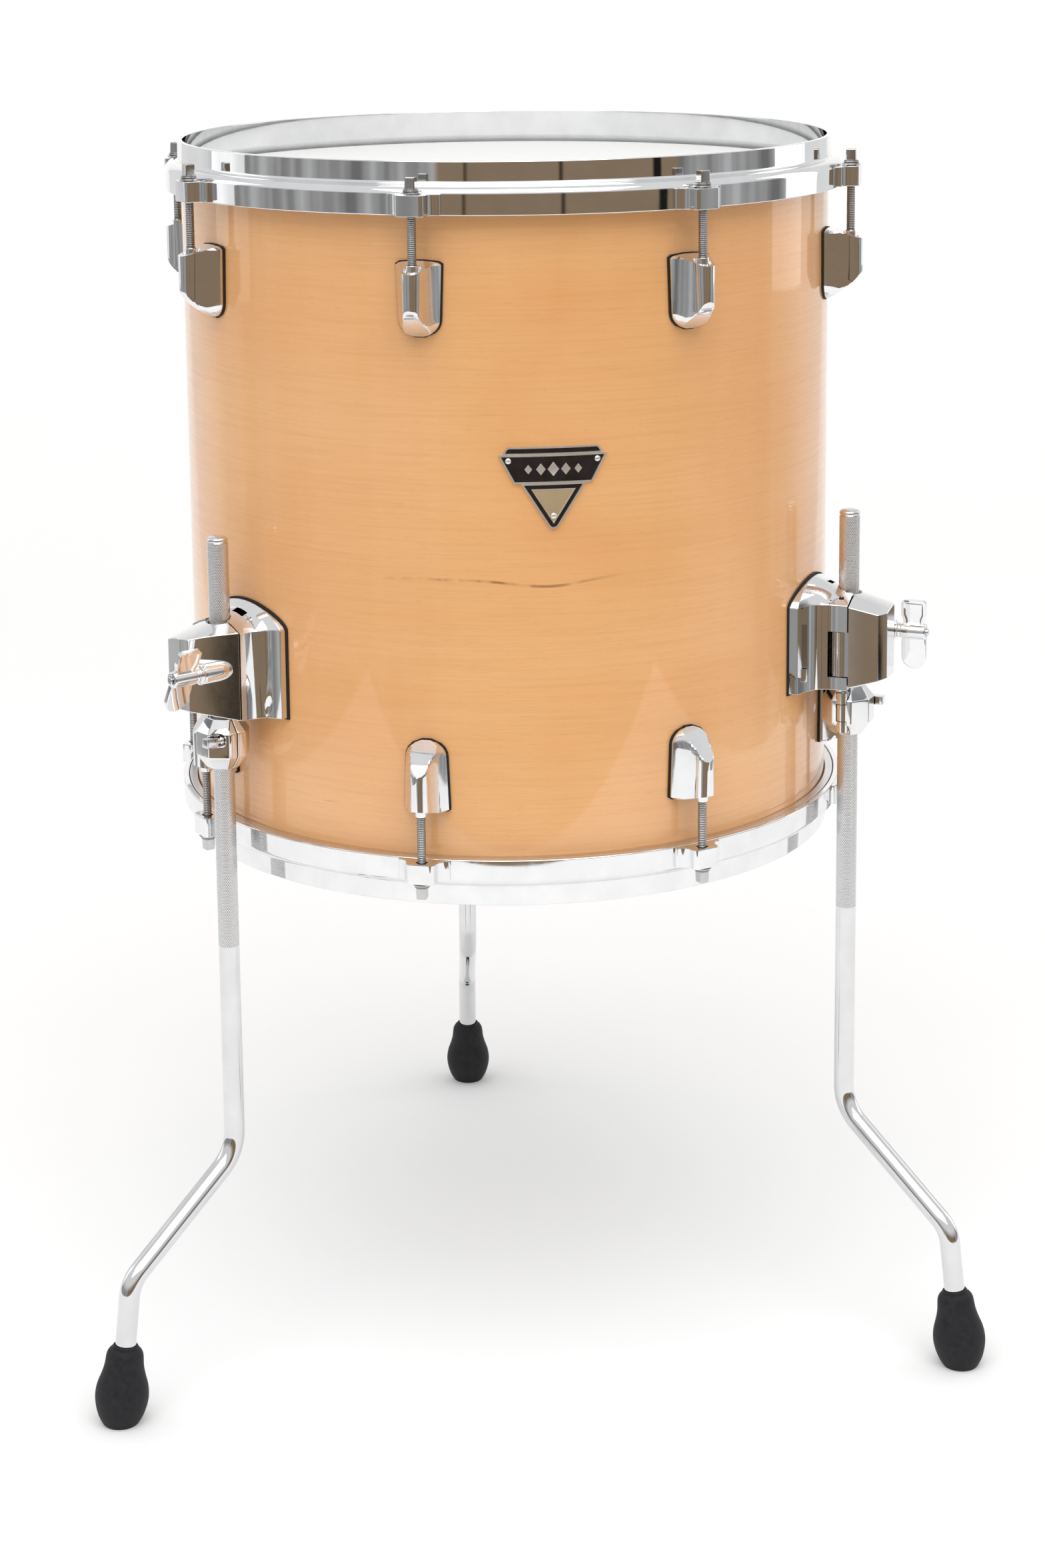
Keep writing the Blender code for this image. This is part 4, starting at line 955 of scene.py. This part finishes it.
def leg_solid(radius, top, knurl_end):
    """A bent leg towards +X with a knurled upper part and a domed end."""
    neck = top - 0.0044
    corners = [Vector((0, 0, neck)), Vector((0, 0, knurl_end)), Vector((0, 0, 0.1425)), KNEE,
               Vector((REACH, 0, 0)) + SHIN * 0.0129]
    path = [corners[0]] + leg_path(corners[1:], (0.026, 0.020))
    bm = bmesh.new()
    ring = bmesh.ops.create_circle(bm, segments=32, radius=radius, matrix=Matrix.Translation(path[0]))
    edges = list({edge for vert in ring["verts"] for edge in vert.link_edges})
    first = edges
    for index in range(1, len(path)):
        before = path[index] - path[index - 1]
        after = path[min(index + 1, len(path) - 1)] - path[index]
        across = (before.normalized() + (after if after.length > 0 else before).normalized()).normalized()
        grown = bmesh.ops.extrude_edge_only(bm, edges=edges)["geom"]
        edges = picked(grown, BMEdge)
        for vert in picked(grown, BMVert):
            run = before.normalized()
            vert.co += run * ((path[index] - vert.co).dot(across) / run.dot(across))
    bmesh.ops.edgeloop_fill(bm, edges=first)
    bmesh.ops.edgeloop_fill(bm, edges=edges)
    cap = spun([(0, neck), (radius - 0.0006, neck), (radius - 0.0003, neck + 0.0006), (radius, neck + 0.0010),
                (radius, top - 0.0026)]
               + [(radius * math.cos(a), top - 0.0026 + 0.0026 * math.sin(a)) for a in
                  [k * math.pi / 16 for k in range(1, 8)]] + [(0, top)], 32)
    whole = together(bm, cap)
    layer = whole.loops.layers.uv.new("knurl")
    for face in whole.faces:
        middle = face.calc_center_median()
        face.material_index = 1 if knurl_end < middle.z < neck and abs(face.normal.z) < 0.5 else 0
        for loop in face.loops:
            angle = math.atan2(loop.vert.co.y, loop.vert.co.x)
            home = math.atan2(middle.y, middle.x)
            angle += math.tau * round((home - angle) / math.tau)
            loop[layer].uv = (angle / math.tau * 34, loop.vert.co.z / 0.0019)
    return whole


def foot_solid(radius):
    """A rubber foot with a round shoulder, a waist and a bulb, flattened by the floor."""
    bulb = smooth_line((
        (0, -0.0035), (0.0082, -0.0020), (0.0124, 0.0030), (0.0150, 0.0095),
        (0.0162, 0.0170), (0.0154, 0.0240), (0.0132, 0.0308), (0.0119, 0.0360),
        (0.0113, 0.0415), (0.0107, 0.0440), (0.0094, 0.0460), (0.0082, 0.0466),
    ), 5)
    bore = radius + 0.0002
    top = [(0.0079, 0.0468), (0.0078, 0.0479), (0.0074, 0.0485), (bore, 0.0485), (bore, 0.0126), (0, 0.0126)]
    bm = spun(bulb + top, 48)
    tilt = Vector((0, 0, 1)).rotation_difference(SHIN).to_matrix().to_4x4()
    at(bm, Matrix.Translation((REACH, 0, 0)) @ tilt)
    bmesh.ops.edgeloop_fill(bm, edges=halved(bm, (0, 0, 0), (0, 0, 1), clear_inner=True))
    return bm


# Operators


class DRUM_OT_finishes(bpy.types.Operator):
    """Make every finish of the drum"""

    bl_idname = "drum.finishes"
    bl_label = "Finishes"

    def execute(self, context):
        build_groups()
        build_finishes(context.scene)
        return {"FINISHED"}


class DRUM_OT_shell(bpy.types.Operator):
    """Make the maple shell and its air vent"""

    bl_idname = "drum.shell"
    bl_label = "Shell"

    def execute(self, context):
        sizes = context.scene.drum_sizes
        bm = shell_solid(sizes)
        for face in bm.faces:
            out = face.calc_center_median() - AXIS
            inside = Vector((out.x, out.y, 0)).length < SHELL_RADIUS - 0.0012
            face.material_index = 1 if inside else 0
        finished("maple_shell", bm, "root", "maple", ("lacquered maple", "sealed maple"), ("shell",))
        out, inner = SHELL_RADIUS + 0.0004, SHELL_RADIUS - sizes.shell_wall
        flange = ((0.0090, 0), (0.0090, 0.0004), (0.0084, 0.0012), (0.0070, 0.0016), (0.0050, 0.0016))
        profile = [(0.0042, inner), (0.0055, inner), (0.0055, out)] + [(r, out + rise) for r, rise in flange]
        profile.append((0.0042, out + 0.0010))
        vent = spun(profile, 48, "X")
        finished("vent_grommet", at(vent, vent_place()), "root", "rubber", ("moulded rubber",), ("air_vent",))
        return {"FINISHED"}


class DRUM_OT_heads(bpy.types.Operator):
    """Make both heads with their flesh hoops"""

    bl_idname = "drum.heads"
    bl_label = "Heads"

    def execute(self, context):
        sizes = context.scene.drum_sizes
        for end, edge, turn in (("batter", TOP_EDGE, 0), ("resonant", BOTTOM_EDGE, math.pi)):
            over = Matrix.Translation(AXIS + Vector((0, 0, edge))) @ Matrix.Rotation(turn, 4, "Y")
            film = at(spun(head_profile(sizes.film), sizes.steps), over)
            slot, look = ("coated_film", "coated film") if end == "batter" else ("clear_film", "clear film")
            finished(end + "_film", film, end + "_hoop", slot, (look,), (end + "_head",))
            outer, low, high = FILM_SIDE + 0.005, -0.0080, -0.0056
            ring = spun(((FILM_SIDE, high), (outer, high), (outer, low), (FILM_SIDE, low)), sizes.steps)
            ring = at(softened(ring, 0.0006), over)
            finished(end + "_flesh_hoop", ring, end + "_hoop", slot, ("flesh hoop aluminium",))
        return {"FINISHED"}


class DRUM_OT_hoops(bpy.types.Operator):
    """Make both cast hoops with their ears"""

    bl_idname = "drum.hoops"
    bl_label = "Hoops"

    def execute(self, context):
        sizes = context.scene.drum_sizes
        for end, edge, over in (("batter", TOP_EDGE, False), ("resonant", BOTTOM_EDGE, True)):
            turn = Matrix.Rotation(math.pi if over else 0, 4, "X")
            ring = softened(spun(hoop_profile(sizes.hoop_rise), sizes.steps), 0.0007, 32, 3)
            parts = [at(ring, Matrix.Translation(AXIS + Vector((0, 0, edge))) @ turn)]
            ear = ear_solid(sizes.ear_width)
            for azimuth in ROD_AZIMUTHS:
                parts.append(at(ear.copy(), on_shell(azimuth, 0, edge, over)))
            freed(ear)
            finished(end + "_cast_hoop", together(*parts), end + "_hoop", "chrome", CHROME, (end + "_hoop",))
        return {"FINISHED"}


class DRUM_OT_rods(bpy.types.Operator):
    """Make the sixteen tension rods with their washers"""

    bl_idname = "drum.rods"
    bl_label = "Tension rods"

    def execute(self, context):
        shank, head = rod_solid(context.scene.drum_sizes.rod_radius)
        upper, lower = TOP_EDGE + EAR_TOP, BOTTOM_EDGE - EAR_TOP
        for end, edge, over in (("upper", upper, False), ("lower", lower, True)):
            for k, azimuth in enumerate(ROD_AZIMUTHS, 1):
                body = f"{end}_rod_{k}"
                copies(on_shell(azimuth, ROD_CIRCLE, edge, over), (
                    (f"{end}_shank_{k}", shank, body, "steel", ("threaded steel",), (body,)),
                    (f"{end}_key_head_{k}", head, body, "steel", ("nickel steel",)),
                ))
        freed(shank, head)
        return {"FINISHED"}


class DRUM_OT_lugs(bpy.types.Operator):
    """Make the sixteen lugs with their sleeves and gaskets"""

    bl_idname = "drum.lugs"
    bl_label = "Lugs"

    def execute(self, context):
        sizes = context.scene.drum_sizes
        lug, sleeve = lug_solid(sizes)
        gasket = lug_gasket(sizes)
        upper, lower = TOP_EDGE - LUG_INSET, BOTTOM_EDGE + LUG_INSET
        for end, edge, over in (("upper", upper, False), ("lower", lower, True)):
            for k, azimuth in enumerate(ROD_AZIMUTHS, 1):
                copies(on_shell(azimuth, LUG_BACK, edge, over), (
                    (f"{end}_lug_casting_{k}", lug, "root", "chrome", CHROME, (f"{end}_lug_{k}",), 30),
                    (f"{end}_sleeve_{k}", sleeve, "root", "steel", CHROME),
                    (f"{end}_lug_gasket_{k}", gasket, "root", "rubber", GASKET),
                ))
        freed(lug, sleeve, gasket)
        return {"FINISHED"}


class DRUM_OT_badge(bpy.types.Operator):
    """Make the badge with plain inlays and its rivets"""

    bl_idname = "drum.badge"
    bl_label = "Badge"

    def execute(self, context):
        width = context.scene.drum_sizes.badge_width
        low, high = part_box("badge")
        place = on_shell(azimuth_of((low + high) / 2), 0, high.z)
        bar_field, band_field, point_field = badge_outlines(width / 2)
        border = (0.0009, -0.0004, 1)
        fields = [
            badge_field(bar_field, (border,)),
            badge_field(band_field, (border,)),
            badge_field(point_field, (border, (0.0020, 0.0004, 0), (0.0004, -0.0003, 2))),
        ]
        fields += [ornament(0.0072 * k, -0.0130, 0.0042 - 0.0007 * abs(k)) for k in (-2, -1, 0, 1, 2)]
        plate = at(bent_round(together(*fields), width), place)
        looks = ("badge border", "badge enamel", "badge gold")
        finished("badge_plate", plate, "root", "badge", looks, ("badge",))
        rivets = []
        profile = ((0, 0.0), (0.0017, 0.0), (0.0017, 0.0004), (0.0013, 0.0009), (0.0006, 0.0011), (0, 0.0011))
        for along, up in ((-0.0258, -0.0080), (0.0258, -0.0080), (0.0, -0.0405)):
            dome = spun(profile, 20, "X")
            angle = along / SHELL_RADIUS
            turn = Matrix.Rotation(angle, 4, "Z") @ Matrix.Translation((SHELL_RADIUS + 0.0012, 0, up))
            rivets.append(at(dome, place @ turn))
        finished("badge_rivets", together(*rivets), "root", "badge", ("badge border",))
        return {"FINISHED"}


class DRUM_OT_brackets(bpy.types.Operator):
    """Make the three leg brackets with their gaskets and hinge pins"""

    bl_idname = "drum.brackets"
    bl_label = "Leg brackets"

    def execute(self, context):
        base, jaw, pin = bracket_solids()
        gasket = bracket_gasket()
        for name in STATIONS:
            copies(at_leg(name), (
                (name + "_base_casting", base, "root", "chrome", CHROME, (name + "_bracket_base",), 30),
                (name + "_hinge_pin", pin, "root", "steel", ("chrome leg",)),
                (name + "_bracket_gasket", gasket, "root", "rubber", GASKET),
                (name + "_jaw_casting", jaw, name + "_jaw", "chrome", CHROME, (name + "_bracket_jaw",), 30),
            ))
        freed(base, jaw, pin, gasket)
        return {"FINISHED"}


class DRUM_OT_wing_nuts(bpy.types.Operator):
    """Make the three wing nuts with their studs"""

    bl_idname = "drum.wing_nuts"
    bl_label = "Wing nuts"

    def execute(self, context):
        nut, stud = wing_solid()
        for name in STATIONS:
            place = at_leg(name) @ Matrix.Translation((0, STUD_SIDE, STUD_UP))
            body = name + "_wing_nut"
            copies(place @ Matrix.Rotation(NUT_TURNS[name], 4, "X"), (
                (name + "_nut_casting", nut, body, "chrome", CHROME, (body,), 30),
                (name + "_stud", stud, body, "steel", ("chrome leg",)),
            ))
        freed(nut, stud)
        return {"FINISHED"}


class DRUM_OT_locks(bpy.types.Operator):
    """Make the three memory locks with their key screws"""

    bl_idname = "drum.locks"
    bl_label = "Memory locks"

    def execute(self, context):
        body, jaw, pin, screw = lock_solids()
        for name in STATIONS:
            rider, leaf = name + "_memory_lock", name + "_lock_jaw"
            copies(at_leg(name), (
                (name + "_lock_inner", body, rider, "chrome", CHROME, (rider + "_body",), 30),
                (name + "_lock_pin", pin, rider, "steel", ("chrome leg",)),
                (name + "_lock_outer", jaw, leaf, "chrome", CHROME, (rider + "_jaw",), 30),
                (name + "_key_screw", screw, leaf, "steel", ("chrome leg",)),
            ))
        freed(body, jaw, pin, screw)
        return {"FINISHED"}


class DRUM_OT_legs(bpy.types.Operator):
    """Make the three bent legs and their rubber feet"""

    bl_idname = "drum.legs"
    bl_label = "Legs and feet"

    def execute(self, context):
        sizes = context.scene.drum_sizes
        for name in STATIONS:
            pin = PINS[name + "_leg_swivel"]
            ahead = FEET[name + "_foot_face"] - pin
            turn = Matrix.Rotation(math.atan2(ahead.y, ahead.x), 4, "Z")
            place = Matrix.Translation((pin.x, pin.y, 0)) @ turn
            leg = leg_solid(sizes.leg_radius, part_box(name + "_leg")[1].z, sizes.knurl_height)
            body, looks = name + "_leg", ("chrome leg", "knurled steel")
            finished(name + "_bent_leg", at(leg, place), body, "steel", looks, (body,), 40)
            foot = at(foot_solid(sizes.leg_radius), place)
            finished(name + "_foot", foot, body, "rubber", ("moulded rubber",), (name + "_rubber_foot",), 50)
        return {"FINISHED"}


class DRUM_OT_stage(bpy.types.Operator):
    """Make the pale floor, whose paper glows as painted light, the soft lights and the camera"""

    bl_idname = "drum.stage"
    bl_label = "Stage"

    def execute(self, context):
        scene = context.scene
        bm = bmesh.new()
        start = bm.verts.new((-1.5, -1.35, 0))
        row = bm.verts.new((1.5, -1.35, 0))
        edge = bm.edges.new((start, row))
        angles = [k * math.pi / 24 for k in range(13)]
        sweep = [(1.6 + 1.2 * math.sin(a), 1.2 - 1.2 * math.cos(a)) for a in angles]
        path = [(-1.35, 0)] + sweep + [(2.8, 4)]
        edges = [edge]
        for (y0, z0), (y1, z1) in zip(path, path[1:]):
            grown = bmesh.ops.extrude_edge_only(bm, edges=edges)["geom"]
            edges = picked(grown, BMEdge)
            bmesh.ops.translate(bm, verts=picked(grown, BMVert), vec=(0, y1 - y0, z1 - z0))
        bmesh.ops.recalc_face_normals(bm, faces=bm.faces)
        mesh = bpy.data.meshes.new("pale_floor")
        bm.to_mesh(mesh)
        bm.free()
        mesh.shade_smooth()
        # The paper glows, which is painted light: faintly on the floor, lifting the drum's shadow, and
        # brightly up the backdrop.
        looks = {"Roughness": 0.9, "Specular_IOR_Level": 0.2, "Emission_Strength": 0.32}
        tree, shader, place = finish("glowing pale paper", **looks)
        shade = mixed(tree, noise(tree, place, 3.0), (0.90, 0.90, 0.90, 1), (0.93, 0.93, 0.93, 1))
        tree.links.new(shade, shader.inputs["Base Color"])
        # Painted light: the glow's colour rises from dim grey on the floor to white up the backdrop.
        rise = ranged(tree, add(tree, "ShaderNodeSeparateXYZ", {0: place}).outputs[2], 0.0, 0.9)
        glow = mixed(tree, rise, (0.22, 0.22, 0.22, 1), (1, 1, 1, 1))
        tree.links.new(glow, shader.inputs["Emission Color"])
        mesh.materials.append(bpy.data.materials["glowing pale paper"])
        floor = bpy.data.objects.new("pale_floor", mesh)
        scene.collection.objects.link(floor)
        for label, place, size, energy in (
            ("top softbox", (0.0, -1.5, 2.7), (3.0, 2.0), 40),
            ("left softbox", (-2.9, 0.9, 1.4), (1.2, 2.4), 6),
            ("right softbox", (2.8, 1.2, 1.4), (1.2, 2.4), 9),
        ):
            light = bpy.data.lights.new(label, "AREA")
            light.shape, light.size, light.size_y, light.energy = "RECTANGLE", size[0], size[1], energy
            lamp = bpy.data.objects.new(label, light)
            lamp.location = place
            aim = Vector((0, 0, 0.55)) - Vector(place)
            lamp.rotation_euler = aim.to_track_quat("-Z", "Y").to_euler()
            scene.collection.objects.link(lamp)
        self.light_the_room(scene)
        self.place_camera(scene)
        return {"FINISHED"}

    def light_the_room(self, scene):
        """A pale room, plain where it is seen. Its near side, dim and furnished, only shows in metal."""
        world = bpy.data.worlds.new("studio")
        world.use_nodes = True
        tree = world.node_tree
        facing = add(tree, "ShaderNodeTexCoord").outputs["Generated"]
        way = add(tree, "ShaderNodeSeparateXYZ", {0: facing}).outputs
        turn = maths(tree, "ARCTAN2", way[0], times(tree, way[1], -1.0))
        across = add(tree, "ShaderNodeCombineXYZ", {0: turn}).outputs[0]
        cloths = ranged(tree, noise(tree, across, 6.0, 2.0), 0.38, 0.62, 0.22, 0.60)
        grey = add(tree, "ShaderNodeCombineColor", {0: cloths, 1: cloths, 2: cloths}).outputs[0]
        things = ranged(tree, noise(tree, across, 7.0, 1.5), 0.385, 0.425)
        dark = mixed(tree, things, (0.015, 0.014, 0.013, 1), (0.32, 0.235, 0.155, 1))
        side = maths(tree, "ABSOLUTE", maths(tree, "SUBTRACT", turn, 0.33))
        near = mixed(tree, ranged(tree, side, 0.72, 0.76), dark, grey)
        low_side = mixed(tree, ranged(tree, side, 0.30, 0.60), (0.30, 0.21, 0.15, 1), (0.42, 0.40, 0.39, 1))
        near = mixed(tree, ranged(tree, way[2], -0.36, -0.30), low_side, near)
        open_side = ranged(tree, maths(tree, "ABSOLUTE", turn), 1.85, 2.25)
        above = ranged(tree, way[2], 0.12, 0.36)
        white = maths(tree, "MAXIMUM", open_side, above)
        shade = mixed(tree, white, near, (1.0, 1.0, 1.0, 1))
        seen = add(tree, "ShaderNodeLightPath").outputs["Is Camera Ray"]
        shade = mixed(tree, seen, shade, (1.3, 1.3, 1.3, 1))
        tree.links.new(shade, tree.nodes["Background"].inputs["Color"])
        tree.nodes["Background"].inputs["Strength"].default_value = 0.80
        scene.world = world

    def place_camera(self, scene):
        """The camera, level with the batter head and looking down at the drum."""
        data = bpy.data.cameras.new("camera")
        data.lens, data.sensor_width, data.shift_y, data.clip_end = 70, 36, -0.2, 50
        yaw, pitch, roll = math.radians(0.2753), math.radians(10.7116), math.radians(0.5681)
        ahead = Vector((math.sin(yaw) * math.cos(pitch), math.cos(yaw) * math.cos(pitch), -math.sin(pitch)))
        right = Vector((math.cos(yaw), -math.sin(yaw), 0))
        down = ahead.cross(right)
        cos, sin = math.cos(roll), math.sin(roll)
        right, down = cos * right + sin * down, cos * down - sin * right
        turn = Matrix((right, -down, -ahead)).transposed().to_4x4()
        camera = bpy.data.objects.new("camera", data)
        camera.matrix_world = Matrix.Translation(AXIS + Vector((0, -1.9216, MIDDLE + 0.3666))) @ turn
        scene.collection.objects.link(camera)
        scene.camera = camera
        scene.view_settings.view_transform = "Standard"


OPERATORS = (
    DRUM_OT_finishes, DRUM_OT_shell, DRUM_OT_heads, DRUM_OT_hoops, DRUM_OT_rods, DRUM_OT_lugs, DRUM_OT_badge,
    DRUM_OT_brackets, DRUM_OT_wing_nuts, DRUM_OT_locks, DRUM_OT_legs, DRUM_OT_stage,
)


class DRUM_PT_panel(bpy.types.Panel):
    """Lists the drum's sizes, colours and pieces"""

    bl_idname = "DRUM_PT_panel"
    bl_label = "Floor Tom"
    bl_space_type = "VIEW_3D"
    bl_region_type = "UI"
    bl_category = "Floor Tom"

    def draw(self, context):
        for owner in (context.scene.drum_sizes, context.scene.drum_colours):
            for name in owner.__annotations__:
                self.layout.prop(owner, name)
        for operator in OPERATORS:
            self.layout.operator(operator.bl_idname)


CLASSES = (DrumSizes, DrumColours, *OPERATORS, DRUM_PT_panel)


def register():
    for cls in CLASSES:
        bpy.utils.register_class(cls)
    bpy.types.Scene.drum_sizes = PointerProperty(type=DrumSizes)
    bpy.types.Scene.drum_colours = PointerProperty(type=DrumColours)


def unregister():
    del bpy.types.Scene.drum_colours
    del bpy.types.Scene.drum_sizes
    for cls in reversed(CLASSES):
        bpy.utils.unregister_class(cls)


def main():
    register()
    bpy.ops.drum.finishes()
    bpy.ops.drum.shell()
    bpy.ops.drum.heads()
    bpy.ops.drum.hoops()
    bpy.ops.drum.rods()
    bpy.ops.drum.lugs()
    bpy.ops.drum.badge()
    bpy.ops.drum.brackets()
    bpy.ops.drum.wing_nuts()
    bpy.ops.drum.locks()
    bpy.ops.drum.legs()
    bpy.ops.drum.stage()


if __name__ == "__main__":
    main()
